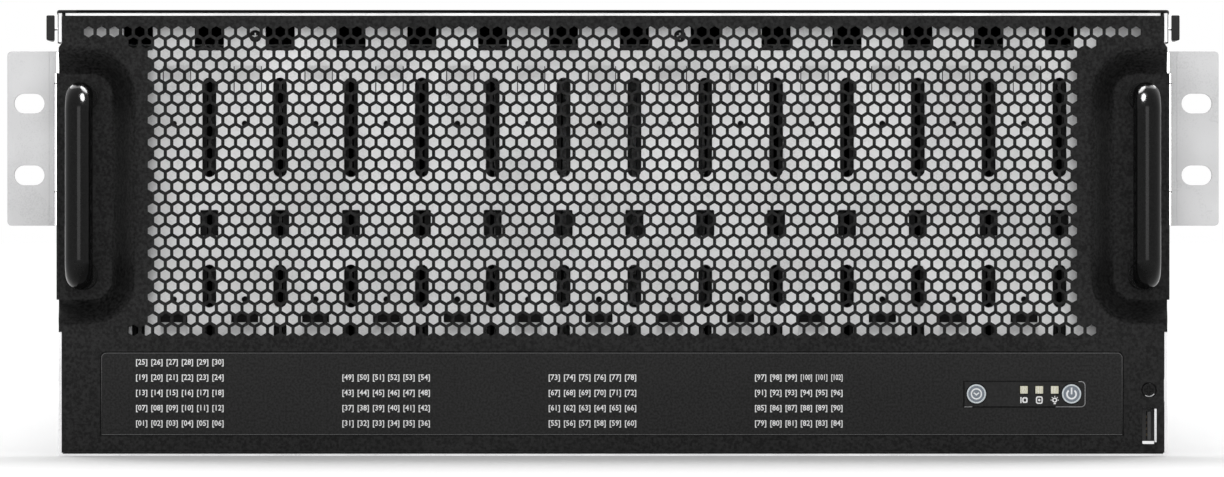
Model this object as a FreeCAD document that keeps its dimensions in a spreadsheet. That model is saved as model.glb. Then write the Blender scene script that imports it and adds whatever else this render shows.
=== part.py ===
import FreeCAD, Part
import math
import os
import re
import Sketcher

Vector = FreeCAD.Vector
Rotation = FreeCAD.Rotation

# A 4U top-loading disk server. +X is right, +Y runs from front to rear, +Z is up.
# The origin lies under the middle, in the plane where the rack ears meet the rack posts.

# Driving sizes, in millimetres or counts
SIZES = {
    # sheet metal chassis
    "tub_half": 219.2, "wall": 1.2, "lip": 3.0, "headroom": 12.4, "fit": 0.2,
    # front panel and its pressed dishes
    "panel_reach": 28.0, "panel_sheet": 1.2, "panel_overhang": 0.1, "panel_inset": 0.6,
    "panel_drop": 0.6, "panel_lift": 0.2, "panel_step": 49.0,
    "dish_depth": 12.0, "dish_wide": 20.2, "dish_above": 21.3, "dish_below": 23.6,
    "dish_slope": 10.4, "dish_round": 8.0, "dish_flange": 12.0,
    # hexagon grille
    "grille_pitch": 20.3, "grille_hole": 16.2, "grille_margin": 2.0, "grille_edge": 7.0,
    # handles
    "handle_bar": 10.9, "handle_inset": 7.45, "handle_gap": 3.7, "handle_reach": 36.0,
    "handle_bend": 11.0, "handle_sides": 12, "bend_steps": 6, "screw_head": 3.5, "head_tall": 2.6,
    # bay number overlay and control cluster
    "overlay_inset": 16.6, "overlay_low": 8.3, "overlay_tall": 32.4, "overlay_film": 0.5,
    "bezel_inset": 15.0, "bezel_wide": 48.6, "bezel_tall": 10.8, "bezel_low": 18.7,
    "bezel_proud": 0.3, "bezel_deep": 4.0, "bezel_rim": 1.5, "button_round": 3.8,
    "button_inset": 5.5, "button_proud": 0.3, "button_collar": 0.8, "button_stroke": 0.8,
    "running_fit": 0.1, "light_side": 3.0, "light_pitch": 6.15, "light_inset": 12.3,
    "light_rise": 1.6, "board": 1.6, "board_margin": 4.0, "switch_tall": 1.0,
    # front service port and the panel screw
    "port_inset": 6.3, "port_wide": 6.0, "port_tall": 14.8, "port_low": 4.4, "port_sheet": 0.4,
    "port_deep": 14.0, "tongue_thick": 1.8, "tongue_margin": 1.6, "front_screw_z": 26.0,
    "front_screw_inset": 6.4, "front_screw_head": 2.85, "front_screw_shank": 1.45,
    "front_screw_long": 6.0, "front_tab_wide": 12.0, "front_tab_tall": 9.0,
    # rack ears
    "ear_sheet": 2.0, "ear_reach": 22.1, "ear_below": 4.1, "ear_tall": 68.3, "ear_arm": 80.0,
    "ear_bend": 1.0, "ear_corner": 1.6, "slot_reach": 13.35, "slot_wide": 7.9,
    "slot_long": 12.1, "slot_first": 20.1, "slot_step": 28.575, "ear_screw_y": 24.0,
    # top cover and its release tabs
    "cover_sheet": 1.0, "cover_flange": 11.8, "cover_travel": 18.0, "tab_thick": 3.6,
    "tab_tall": 9.9, "tab_long": 24.0, "tab_gap": 1.2, "tab_drop": 1.1, "tab_stem": 2.0,
    "tab_front": -14.0,
    # disk bays
    "cage_gap": 1.2, "cage_sheet": 1.2, "cage_pitch": 28.15, "slot_ends": 3,
    "tall_slot_wide": 5.4, "tall_slot_rise": 48.3, "tall_slot_tall": 39.5,
    "low_slot_wide": 5.4, "low_slot_rise": -3.5, "low_slot_tall": 17.0,
    "window_wide": 7.1, "window_rise": 25.0, "window_tall": 10.2,
    "crown_wide": 11.5, "crown_rise": 98.7, "crown_tall": 9.5,
    "row_pitch": 104.0, "zones": 4, "zone_rows": 2, "narrow_by": 3,
    "disk_thick": 26.1, "disk_deep": 101.6, "disk_tall": 147.0, "disk_margin": 1.3,
    "row_gap": 1.8, "rail_tall": 12.8, "rail_wide": 24.0, "rail_apart": 150.0,
    "row_wall": 0.8, "row_wall_tall": 150.0, "rail_sheet": 1.5,
    # fans
    "fan_side": 80.0, "fan_deep": 38.0, "fan_pitch": 84.0, "fan_wall": 2.0, "fan_count": 5,
    "fan_hub": 17.5, "fan_hub_long": 26.0, "fan_base": 5.0, "fan_strut": 4.0, "fan_shaft": 2.0,
    "fan_tip_gap": 1.0, "blade_count": 5, "blade_thick": 1.6, "blade_chord": 28.0,
    "blade_pitch": 45.0, "fan_top": 6.0, "fan_rise": 5.0, "round_sides": 16,
    "hub_sides": 10, "shaft_sides": 8,
    "vent_slot": 6.6, "vent_pitch": 10.0, "shaft_fit": 0.05,
    # power supplies
    "psu_half": 36.7, "psu_tall": 39.5, "psu_deep": 186.0, "bay_sheet": 1.0, "bay_fit": 0.3,
    "inlet_wide": 26.0, "inlet_tall": 18.0, "inlet_deep": 20.0, "pin_long": 13.0,
    "pin_apart": 7.0, "pin_rise": 2.0, "pin_thick": 2.0, "pin_tall": 4.0, "pull_margin": 2.0,
    "inlet_left": 4.0, "blower_hole": 11.0, "blower_deep": 8.0, "pull_bar": 5.0,
    "pull_reach": 28.0, "latch_wide": 7.0, "latch_tall": 12.0, "latch_reach": 9.0,
    "latch_thick": 2.0, "latch_travel": 2.0,
    # controller modules
    "ctrl_deep": 180.0, "ctrl_sheet": 1.0, "ctrl_board_lift": 9.0, "ctrl_tall": 80.0,
    "cage_wide": 24.0, "cage_tall": 11.0, "cage_long": 40.0, "cage_skin": 0.6, "cage_step": 34.0,
    "jack_wide": 16.0, "jack_tall": 13.5, "jack_long": 21.0, "port_count": 3, "ports_left": 10.0,
    "sink_side": 48.0, "sink_base": 4.0, "sink_tall": 26.0, "fin_count": 9, "fin_thick": 1.4,
    "ctrl_pull_wide": 60.0, "ctrl_pull_reach": 26.0, "thumb_head": 5.0, "thumb_long": 9.0,
}

# Places that follow from the driving sizes
DERIVED = {
    "tub_inner": "tub_half - wall",
    "disk_low": "wall + rail_tall + board",
    "bay_top": "wall + 2 * psu_tall + 4 * bay_fit + 2 * bay_sheet",
    "tub_top": "max(disk_low + disk_tall + headroom; bay_top + fan_rise + fan_side + fan_top)",
    "panel_face": "-panel_reach",
    "panel_back": "panel_face + panel_sheet",
    "panel_half": "tub_half + panel_overhang",
    "panel_low_half": "tub_half - panel_inset",
    "panel_low": "wall + panel_lift",
    "panel_top": "tub_top - panel_drop",
    "overlay_half": "tub_half - overlay_inset",
    "overlay_high": "overlay_low + overlay_tall",
    "dish_in": "tub_half - dish_wide",
    "dish_out": "panel_half + panel_sheet + 1.5 * fit",
    "dish_low": "overlay_high + dish_above",
    "dish_high": "panel_top - dish_below",
    "dish_face": "panel_face + dish_depth",
    "dish_back": "dish_face + panel_sheet",
    "handle_x": "tub_half - handle_inset",
    "handle_low": "dish_low + handle_gap + handle_bar / 2",
    "handle_high": "dish_high - handle_gap - handle_bar / 2",
    "bezel_right": "overlay_half - bezel_inset",
    "bezel_left": "bezel_right - bezel_wide",
    "bezel_high": "bezel_low + bezel_tall",
    "bezel_mid": "bezel_low + bezel_tall / 2",
    "bezel_face": "panel_face - bezel_proud",
    "bezel_back": "bezel_face + bezel_deep",
    "button_face": "bezel_face - button_proud",
    "button_back": "bezel_back + fit + button_collar",
    "board_face": "button_back + button_stroke + fit + switch_tall",
    "light_z": "bezel_mid + light_rise",
    "port_x": "tub_half - port_inset",
    "port_face": "panel_face - bezel_proud",
    "port_back": "port_face + port_deep",
    "front_screw_x": "tub_half - front_screw_inset",
    "cover_in": "tub_half + fit",
    "cover_out": "cover_in + cover_sheet",
    "cover_under": "tub_top + fit",
    "cover_top": "cover_under + cover_sheet",
    "cover_low": "cover_under - cover_flange",
    "ear_in": "tub_half + ear_sheet",
    "ear_out": "tub_half + ear_reach",
    "ear_low": "cover_low - ear_below - ear_tall",
    "slot_x": "tub_half + slot_reach",
    "slot_z": "ear_low + slot_first",
    "tab_in": "cover_out + tab_gap",
    "tab_high": "cover_under - tab_drop",
    "tab_z": "tab_high - tab_tall / 2",
    "tab_y": "tab_front + tab_long / 2",
    "panel_notch": "dish_high + dish_slope + panel_sheet",
    "panel_top_half": "tub_inner - fit",
    "cage_face": "dish_back + head_tall + cage_gap",
    "row_start": "cage_face + cage_sheet + row_gap",
    "board_under": "wall + rail_tall",
    "rows": "zones * zone_rows",
    "row_end": "row_start + rows * row_pitch",
    "tub_back": "row_end + fit + max(psu_deep; ctrl_deep)",
    "frame_face": "tub_back - wall",
    "fan_z": "tub_top - fan_top - fan_side / 2",
    "fan_bore": "fan_side / 2 - fan_wall",
    "bay_in": "psu_half + bay_fit",
    "bay_out": "bay_in + bay_sheet",
    "shelf_under": "wall + psu_tall + 2 * bay_fit",
    "ctrl_in": "bay_out + bay_fit",
    "ctrl_out": "tub_inner - bay_fit",
    "ctrl_low": "wall + bay_fit",
    "ctrl_high": "ctrl_low + ctrl_tall",
}

WORD = re.compile(r"[a-z][a-z_]+")
TURNED = {"x": Rotation(Vector(0, 1, 0), 90), "y": Rotation(Vector(1, 0, 0), -90)}
UPRIGHT = Rotation(Vector(1, 0, 0), 90)
MIRROR_NORMAL = Vector(1, 0, 0)

doc = FreeCAD.newDocument("disk_server")
sheet = doc.addObject("Spreadsheet::Sheet", "sizes")
PIECES = []


def fill_sheet():
    """Writes the driving sizes, then the places that follow from them."""
    rows = [(alias, str(size)) for alias, size in SIZES.items()]
    rows += [(alias, "=" + formula) for alias, formula in DERIVED.items()]
    for number, (alias, content) in enumerate(rows, start=1):
        sheet.set(f"A{number}", alias.replace("_", " "))
        sheet.set(f"B{number}", content)
        sheet.setAlias(f"B{number}", alias)
    doc.recompute()


def over_sheet(expression):
    """The expression with each alias named as a cell of the sheet."""
    def cell(word):
        name = word.group(0)
        return "sizes." + name if name in SIZES or name in DERIVED else name
    return WORD.sub(cell, expression)


def tie(thing, prop, expression):
    """Binds one property of an object to an expression over the sheet."""
    thing.setExpression(prop, over_sheet(expression))


def value(expression):
    """The number that an expression over the sheet gives now."""
    found = sheet.evalExpression(over_sheet(expression))
    return float(getattr(found, "Value", found))


def tie_base(thing, x, y, z):
    """Binds where an object stands."""
    for way, expression in zip("xyz", (x, y, z)):
        tie(thing, f"Placement.Base.{way}", expression)


def box(name, x, y, z):
    """A box whose faces lie at three pairs of expressions."""
    solid = doc.addObject("Part::Box", name)
    for side, (low, high) in zip(("Length", "Width", "Height"), (x, y, z)):
        tie(solid, side, f"({high}) - ({low})")
    tie_base(solid, x[0], y[0], z[0])
    return solid


def rod(name, axis, radius, start, long):
    """A round rod of the given length that starts at a point and runs along +axis."""
    solid = doc.addObject("Part::Cylinder", name)
    solid.Placement.Rotation = TURNED[axis]
    tie(solid, "Radius", radius)
    tie(solid, "Height", long)
    tie_base(solid, *start)
    return solid


def flat_rod(name, axis, sides, radius, start, long):
    """A rod with flat sides that starts at a point and runs along +axis."""
    solid = doc.addObject("Part::Prism", name)
    solid.Placement.Rotation = TURNED[axis]
    tie(solid, "Polygon", sides)
    tie(solid, "Circumradius", radius)
    tie(solid, "Height", long)
    tie_base(solid, *start)
    return solid


def nut(name, axis, start, long):
    """A screw's six-sided head that starts at a point and runs along +axis."""
    return flat_rod(name, axis, "6", "screw_head", start, long)


def group(name, parts):
    """Separate solids kept together as one object."""
    made = doc.addObject("Part::Compound", name)
    made.Links = list(parts)
    return made


def fuse(name, *parts):
    """One solid from parts that meet."""
    made = doc.addObject("Part::MultiFuse", name)
    made.Shapes = list(parts)
    made.Refine = True
    return made


def cut(name, base, *tools):
    """A solid less one or more others."""
    made = doc.addObject("Part::Cut", name)
    made.Base = base
    made.Tool = tools[0] if len(tools) == 1 else group(name + "_tools", tools)
    made.Refine = True
    return made


def mirror(name, source):
    """The same piece on the left."""
    made = doc.addObject("Part::Mirroring", name)
    made.Source = source
    made.Normal = MIRROR_NORMAL
    return made


def feature(name, shape):
    """An object whose shape is worked out from the sheet's values."""
    made = doc.addObject("Part::Feature", name)
    made.Shape = shape
    return made


def copies(name, source, spots):
    """Copies of one solid, each moved to a spot, as one object."""
    doc.recompute()
    shapes = []
    for spot in spots:
        shape = source.Shape.copy()
        shape.translate(spot)
        shapes.append(shape)
    return feature(name, Part.makeCompound(shapes))


def piece(node, thing):
    """Names a finished piece and puts it on the list to write out."""
    thing.Label = node
    PIECES.append(thing)
    return thing


def plane(owner, role):
    """One of a body's own origin planes."""
    return next(part for part in owner.Origin.OriginFeatures if part.Role == role)


def sketch(owner, name, role, offset="0"):
    """An empty sketch on one of a body's origin planes."""
    flat = owner.newObject("Sketcher::SketchObject", name)
    flat.AttachmentSupport = [(plane(owner, role), "")]
    flat.MapMode = "FlatFace"
    tie(flat, "AttachmentOffset.Base.z", offset)
    return flat


def upright_sketch(name, y):
    """A free sketch that stands across the depth at y."""
    flat = doc.addObject("Sketcher::SketchObject", name)
    flat.Placement.Rotation = UPRIGHT
    tie(flat, "Placement.Base.y", y)
    return flat


def hold(flat, way, element, point, expression):
    """Holds one coordinate of a sketch point at an expression."""
    at = flat.addConstraint(Sketcher.Constraint(way, -1, 1, element, point, value(expression)))
    tie(flat, f"Constraints[{at}]", expression)


def outline(flat, *corners):
    """Straight lines through corners, each held at its two expressions."""
    spots = [Vector(value(x), value(y), 0) for x, y in corners]
    first = flat.GeometryCount
    for start, end in zip(spots, spots[1:] + spots[:1]):
        flat.addGeometry(Part.LineSegment(start, end), False)
    for number, (x, y) in enumerate(corners):
        after = first + (number + 1) % len(corners)
        flat.addConstraint(Sketcher.Constraint("Coincident", first + number, 2, after, 1))
        hold(flat, "DistanceX", first + number, 1, x)
        hold(flat, "DistanceY", first + number, 1, y)


def arc(flat, centre, radius, first, last):
    """An arc between two angles in degrees, counter-clockwise."""
    round_line = Part.Circle(Vector(*centre, 0), Vector(0, 0, 1), radius)
    return flat.addGeometry(Part.ArcOfCircle(round_line, math.radians(first), math.radians(last)), False)


def line(flat, start, end):
    """A straight line between two points."""
    return flat.addGeometry(Part.LineSegment(Vector(*start, 0), Vector(*end, 0)), False)


def meet(flat, *joints):
    """Smooth joints between neighbouring lines and arcs."""
    for one, one_end, other, other_end in joints:
        flat.addConstraint(Sketcher.Constraint("Tangent", one, one_end, other, other_end))


def hold_radius(flat, number, expression):
    """Holds the radius of an arc at an expression."""
    at = flat.addConstraint(Sketcher.Constraint("Radius", number, value(expression)))
    tie(flat, f"Constraints[{at}]", expression)


def dish_section(flat, inner, outer, low, high, radius):
    """A dish's outline: open to the side at outer, with two round corners at inner."""
    x_in, x_out, z_low, z_high, r = (value(e) for e in (inner, outer, low, high, radius))
    bottom = line(flat, (x_out, z_low), (x_in + r, z_low))
    low_arc = arc(flat, (x_in + r, z_low + r), r, 180, 270)
    inside = line(flat, (x_in, z_low + r), (x_in, z_high - r))
    high_arc = arc(flat, (x_in + r, z_high - r), r, 90, 180)
    top = line(flat, (x_in + r, z_high), (x_out, z_high))
    side = line(flat, (x_out, z_high), (x_out, z_low))
    meet(flat, (bottom, 2, low_arc, 2), (low_arc, 1, inside, 1),
         (inside, 2, high_arc, 2), (high_arc, 1, top, 1))
    flat.addConstraint([
        Sketcher.Constraint("Coincident", top, 2, side, 1),
        Sketcher.Constraint("Coincident", side, 2, bottom, 1),
        Sketcher.Constraint("Horizontal", bottom), Sketcher.Constraint("Horizontal", top),
        Sketcher.Constraint("Vertical", inside), Sketcher.Constraint("Vertical", side)])
    hold_radius(flat, low_arc, radius)
    hold_radius(flat, high_arc, radius)
    hold(flat, "DistanceX", side, 1, outer)
    hold(flat, "DistanceX", inside, 1, inner)
    hold(flat, "DistanceY", bottom, 1, low)
    hold(flat, "DistanceY", top, 1, high)


def slot_outline(flat, x, y, long, wide):
    """A slot with round ends, lying along the sketch's x."""
    middle, height, r = value(x), value(y), value(wide) / 2
    reach = value(long) / 2 - r
    left = arc(flat, (middle - reach, height), r, 90, 270)
    right = arc(flat, (middle + reach, height), r, 270, 450)
    low = line(flat, (middle - reach, height - r), (middle + reach, height - r))
    high = line(flat, (middle + reach, height + r), (middle - reach, height + r))
    meet(flat, (left, 2, low, 1), (low, 2, right, 1), (right, 2, high, 1), (high, 2, left, 1))
    flat.addConstraint(Sketcher.Constraint("Equal", left, right))
    hold_radius(flat, left, f"({wide}) / 2")
    for end, sign in ((left, "-"), (right, "+")):
        hold(flat, "DistanceX", end, 3, f"{x} {sign} (({long}) - ({wide})) / 2")
        hold(flat, "DistanceY", end, 3, y)


def pad(owner, flat, long, backwards=False):
    """Extrudes a sketch, along its normal or against it."""
    made = owner.newObject("PartDesign::Pad", flat.Name + "_pad")
    made.Profile = flat
    made.Reversed = backwards
    tie(made, "Length", long)
    return made


def pocket(owner, flat, deep):
    """Cuts a sketch's outline into the body, against the sketch's normal."""
    made = owner.newObject("PartDesign::Pocket", flat.Name + "_pocket")
    made.Profile = flat
    tie(made, "Length", deep)
    return made


def make_chassis():
    """The folded tub: floor, side walls with lips, a front rail, and a tab for the panel's screw."""
    floor = box("floor", ("-tub_half", "tub_half"), ("panel_face", "tub_back"), ("0", "wall"))
    long = ("panel_back", "tub_back")
    side = box("side", ("tub_inner", "tub_half"), long, ("wall", "tub_top"))
    lip = box("lip_strip", ("tub_inner - lip", "tub_inner"), ("row_start", "frame_face - fit"),
              ("tub_top - wall", "tub_top"))
    tab_z = ("front_screw_z - front_tab_tall / 2", "front_screw_z + front_tab_tall / 2")
    tab = box("front_tab", ("tub_inner - front_tab_wide", "tub_inner"),
              ("panel_back", "panel_back + wall"), tab_z)
    notch = box("dish_notch", ("tub_inner - wall", "tub_half + wall"), ("panel_back - wall", "dish_back"),
                ("dish_low - dish_slope - 2 * panel_sheet", "dish_high + dish_slope + 2 * panel_sheet"))
    relief = box("tab_relief", ("tub_inner - lip - wall", "tub_half + wall"),
                 ("tab_y - tab_stem - 2 * fit", "tab_y + tab_stem + cover_travel + 2 * fit"),
                 ("tab_z - tab_stem - 2 * fit", "tub_top + wall"))
    walls = cut("side_wall", fuse("side_blank", side, lip), notch, relief)
    rail = box("front_rail", ("-tub_inner", "tub_inner"), ("panel_back", "row_start"),
               ("tub_top - wall", "tub_top"))
    whole = fuse("tub_blank", floor, walls, mirror("side_wall_left", walls), rail, tab)
    screw_hole = rod("front_tab_hole", "y", "front_screw_shank + shaft_fit",
                     ("front_screw_x", "panel_back - wall", "front_screw_z"), "3 * wall")
    piece("chassis_tub", cut("chassis_tub", whole, screw_hole))


def ring(radius, sides, turn=0.0):
    """The corners of a regular outline standing across the depth, closed."""
    turns = [math.radians(turn + 360 / sides * number) for number in range(sides + 1)]
    return [Vector(radius * math.cos(angle), 0, radius * math.sin(angle)) for angle in turns]


def prism(corners, deep):
    """A solid from a closed outline, extruded towards the rear."""
    return Part.Face(Part.makePolygon(corners)).extrude(Vector(0, deep, 0))


def flat_skin(rings):
    """A solid through closed outlines with like corners, a flat face between each two."""
    faces = [Part.Face(Part.makePolygon(corners)) for corners in (rings[0], rings[-1])]
    for near, far in zip(rings, rings[1:]):
        for first, second, third, last in zip(near, near[1:], far[1:], far):
            faces.append(Part.Face(Part.makePolygon([first, second, third, last, first])))
    shell = Part.makeShell(faces)
    shell.sewShape()
    solid = Part.makeSolid(shell)
    return solid if solid.Volume > 0 else solid.reversed()


def grille_holes():
    """Hexagons in staggered rows over the field between the two dishes, as cutting prisms."""
    pitch, hole = value("grille_pitch"), value("grille_hole")
    point = hole / math.sqrt(3)
    step = pitch * math.sqrt(3) / 2
    reach = value("dish_in - dish_slope - panel_sheet - grille_margin") - hole / 2
    low = value("overlay_high + grille_edge") + point
    high = value("panel_top - grille_edge") - point
    hexagon = prism(ring(point, 6, turn=30), value("3 * panel_sheet"))
    holes = []
    for row in range(int((high - low) / step) + 1):
        shift = (row % 2) * pitch / 2
        count = int((reach - shift) / pitch)
        for number in range(-count - row % 2, count + 1):
            hole_here = hexagon.copy()
            hole_here.translate(Vector(shift + number * pitch, 0, low + row * step))
            holes.append(hole_here)
    return holes


def make_panel_plate():
    """The flat of the front panel with its overlay recess and openings."""
    plate = doc.addObject("PartDesign::Body", "panel_plate")
    edge = sketch(plate, "panel_edge", "XZ_Plane", "panel_reach")
    outline(edge, ("-panel_low_half", "panel_low"), ("panel_low_half", "panel_low"),
            ("panel_low_half", "panel_step"), ("panel_half", "panel_step"),
            ("panel_half", "panel_notch"), ("panel_top_half", "panel_notch + wall"),
            ("panel_top_half", "panel_top"), ("-panel_top_half", "panel_top"),
            ("-panel_top_half", "panel_notch + wall"), ("-panel_half", "panel_notch"),
            ("-panel_half", "panel_step"), ("-panel_low_half", "panel_step"))
    pad(plate, edge, "panel_sheet", backwards=True)
    recess = sketch(plate, "overlay_recess", "XZ_Plane", "panel_reach")
    outline(recess, ("-overlay_half", "overlay_low"), ("overlay_half", "overlay_low"),
            ("overlay_half", "overlay_high"), ("-overlay_half", "overlay_high"))
    pocket(plate, recess, "overlay_film")
    openings = sketch(plate, "panel_openings", "XZ_Plane", "panel_reach")
    outline(openings, ("bezel_left - fit", "bezel_low - fit"), ("bezel_right + fit", "bezel_low - fit"),
            ("bezel_right + fit", "bezel_high + fit"), ("bezel_left - fit", "bezel_high + fit"))
    outline(openings, ("port_x - port_wide / 2 - fit", "port_low - fit"),
            ("port_x + port_wide / 2 + fit", "port_low - fit"),
            ("port_x + port_wide / 2 + fit", "port_low + port_tall + fit"),
            ("port_x - port_wide / 2 - fit", "port_low + port_tall + fit"))
    plate.Tip = pocket(plate, openings, "panel_sheet")
    return plate


def dish(name, grow, floor_y, outer):
    """The space of a pressed dish, grown all round by the sheet where that is asked."""
    mouth = upright_sketch(name + "_mouth", "panel_face")
    dish_section(mouth, f"dish_in - dish_slope - {grow}", outer, f"dish_low - dish_slope - {grow}",
                 f"dish_high + dish_slope + {grow}", "dish_round + dish_slope")
    floor = upright_sketch(name + "_floor", floor_y)
    dish_section(floor, f"dish_in - {grow}", outer, f"dish_low - {grow}", f"dish_high + {grow}",
                 "dish_round")
    made = doc.addObject("Part::Loft", name)
    made.Sections = [mouth, floor]
    made.Solid = True
    made.Ruled = True
    return made


def countersink():
    """The cone that takes the screw's head, with its wide end in the panel's face."""
    cone = doc.addObject("Part::Cone", "countersink")
    cone.Placement.Rotation = TURNED["y"]
    tie(cone, "Radius1", "front_screw_head + shaft_fit")
    tie(cone, "Radius2", "front_screw_shank + shaft_fit")
    tie(cone, "Height", "panel_sheet")
    tie_base(cone, "front_screw_x", "panel_face", "front_screw_z")
    return cone


def make_front_screw():
    """The panel's countersunk screw, its head and shank with flat sides."""
    sides = int(value("round_sides"))
    face, under = (ring(value(name), sides) for name in ("front_screw_head", "front_screw_shank"))
    deep = Vector(0, value("panel_sheet"), 0)
    head = feature("front_screw_cone", flat_skin([face, [corner + deep for corner in under]]))
    start = ("front_screw_x", "panel_face", "front_screw_z")
    tie_base(head, *start)
    shank = flat_rod("front_screw_rod", "y", "round_sides", "front_screw_shank", start, "front_screw_long")
    return fuse("panel_screw", head, shank)


def make_front_panel():
    """The pressed front panel: flat plate, two handle dishes, and their side flanges."""
    plate = make_panel_plate()
    skin = dish("dish_skin", "panel_sheet", "dish_back", "panel_half")
    flange = box("dish_side_flange", ("panel_half", "dish_out"),
                 ("dish_face", "dish_face + dish_flange"), ("dish_low", "dish_high"))
    right = fuse("dish_right", skin, flange)
    hollow = dish("dish_hollow", "0", "dish_face", "dish_out + wall")
    blank = fuse("panel_blank", plate, right, mirror("dish_left", right))
    screw_hole = rod("front_screw_hole", "y", "front_screw_shank + shaft_fit",
                     ("front_screw_x", "panel_face", "front_screw_z"), "panel_sheet")
    pressed = cut("panel_pressed", blank, hollow, mirror("dish_hollow_left", hollow), screw_hole,
                  countersink())
    grille = feature("grille", Part.makeCompound(grille_holes()))
    tie(grille, "Placement.Base.y", "panel_face - panel_sheet")
    panel = cut("front_panel", pressed, grille)
    panel.Refine = False
    piece("front_panel", panel)
    piece("panel_screw", make_front_screw())


def handle_path():
    """The handle's middle line: out from the dish, along the front, and home, each bend in short steps."""
    back, front, low, high, r, x = (value(name) for name in (
        "dish_face", "dish_face - handle_reach + handle_bar / 2", "handle_low", "handle_high",
        "handle_bend", "handle_x"))
    steps = int(value("bend_steps"))
    turns = [math.radians(90 / steps * (number + 0.5)) for number in range(steps)]
    reach = r / math.cos(math.radians(45 / steps))
    aside = [(r - reach * math.sin(turn), r - reach * math.cos(turn)) for turn in turns]
    under = [Vector(x, front + forward, low + up) for forward, up in aside]
    over = [Vector(x, front + forward, high - up) for forward, up in reversed(aside)]
    return [Vector(x, back, low)] + under + over + [Vector(x, back, high)]


def mitred_bar(path, radius, sides):
    """A bar with flat sides along a path that stands across x, mitred at each corner."""
    ways = [(after - before).normalize() for before, after in zip(path, path[1:])]
    turns = [math.radians(360 / sides * (number + 0.5)) for number in range(sides + 1)]
    rings = []
    for spot, before, after in zip(path, ways[:1] + ways, ways + ways[-1:]):
        aside, up = Vector(radius, 0, 0), before.cross(Vector(radius, 0, 0))
        mitre = before + after
        arms = [aside * math.cos(turn) + up * math.sin(turn) for turn in turns]
        rings.append([spot + arm - before * (arm.dot(mitre) / before.dot(mitre)) for arm in arms])
    return flat_skin(rings)


def make_handles():
    """Two round bars bent to a U, each held by two screws through its dish."""
    sides = int(value("handle_sides"))
    corner = value("handle_bar / 2") / math.cos(math.pi / sides)
    right = feature("handle_right", mitred_bar(handle_path(), corner, sides))
    piece("handle_right", right)
    piece("handle_left", mirror("handle_left", right))
    heads = [nut(f"handle_head_{side}_{end}", "y", (x, "dish_back", f"handle_{end}"), "head_tall")
             for side, x in (("left", "-handle_x"), ("right", "handle_x")) for end in ("low", "high")]
    piece("handle_screws", group("handle_screws", heads))


def make_controls():
    """The number overlay, the control bezel with two buttons and three lights, and their board."""
    film = box("film", ("-overlay_half", "overlay_half"), ("panel_face", "panel_face + overlay_film"),
               ("overlay_low", "overlay_high"))
    window = box("film_window", ("bezel_left - fit", "bezel_right + fit"),
                 ("panel_face - wall", "panel_back"), ("bezel_low - fit", "bezel_high + fit"))
    piece("number_overlay", cut("number_overlay", film, window))
    face = box("bezel_block", ("bezel_left", "bezel_right"), ("bezel_face", "bezel_back"),
               ("bezel_low", "bezel_high"))
    rim = box("bezel_flange", ("bezel_left - bezel_rim", "bezel_right + bezel_rim"),
              ("panel_back", "bezel_back"), ("bezel_low - bezel_rim", "bezel_high + bezel_rim"))
    posts = [box(f"bezel_post_{end}", x, ("bezel_back", "board_face"),
                 ("bezel_low - bezel_rim", "bezel_low + bezel_rim"))
             for end, x in (("left", ("bezel_left - bezel_rim", "bezel_left")),
                            ("right", ("bezel_right", "bezel_right + bezel_rim")))]
    whole = fuse("bezel_whole", face, rim, *posts)
    buttons = {"id_button": "bezel_left + button_inset", "power_button": "bezel_right - button_inset"}
    lights = [f"bezel_right - light_inset - {number} * light_pitch" for number in range(3)]
    tools = [flat_rod(f"{name}_bore", "y", "round_sides", "button_round + running_fit",
                      (x, "bezel_face - wall", "bezel_mid"), "bezel_deep + 2 * wall")
             for name, x in buttons.items()]
    pipes = []
    for number, x in enumerate(lights):
        half, free = "light_side / 2", "(light_side / 2 + running_fit)"
        tools.append(box(f"light_window_{number}", (f"{x} - {free}", f"{x} + {free}"),
                         ("bezel_face - wall", "bezel_back + wall"),
                         (f"light_z - {free}", f"light_z + {free}")))
        pipes.append(box(f"light_pipe_{number}", (f"{x} - {half}", f"{x} + {half}"),
                         ("bezel_face", "board_face"), (f"light_z - {half}", f"light_z + {half}")))
    piece("control_bezel", cut("control_bezel", whole, *tools))
    piece("light_pipes", group("light_pipes", pipes))
    for name, x in buttons.items():
        cap = flat_rod(name + "_cap", "y", "round_sides", "button_round",
                       (x, "button_face", "bezel_mid"), "bezel_back + fit - button_face")
        half = "button_round + running_fit"
        collar = box(name + "_collar", (f"{x} - ({half})", f"{x} + ({half})"),
                     ("bezel_back + fit", "button_back"), (f"bezel_mid - ({half})", f"bezel_mid + ({half})"))
        piece(name, fuse(name, cap, collar))
    piece("control_board", box("control_board", ("bezel_left - board_margin", "bezel_right + board_margin"),
                               ("board_face", "board_face + board"),
                               ("bezel_low - board_margin", "bezel_high + board_margin")))
    side = "button_round - 2 * shaft_fit"
    piece("tact_switches", group("tact_switches", [
        box(name + "_switch", (f"{x} - ({side})", f"{x} + ({side})"),
            ("board_face - switch_tall", "board_face"),
            (f"bezel_mid - ({side})", f"bezel_mid + ({side})")) for name, x in buttons.items()]))


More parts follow.
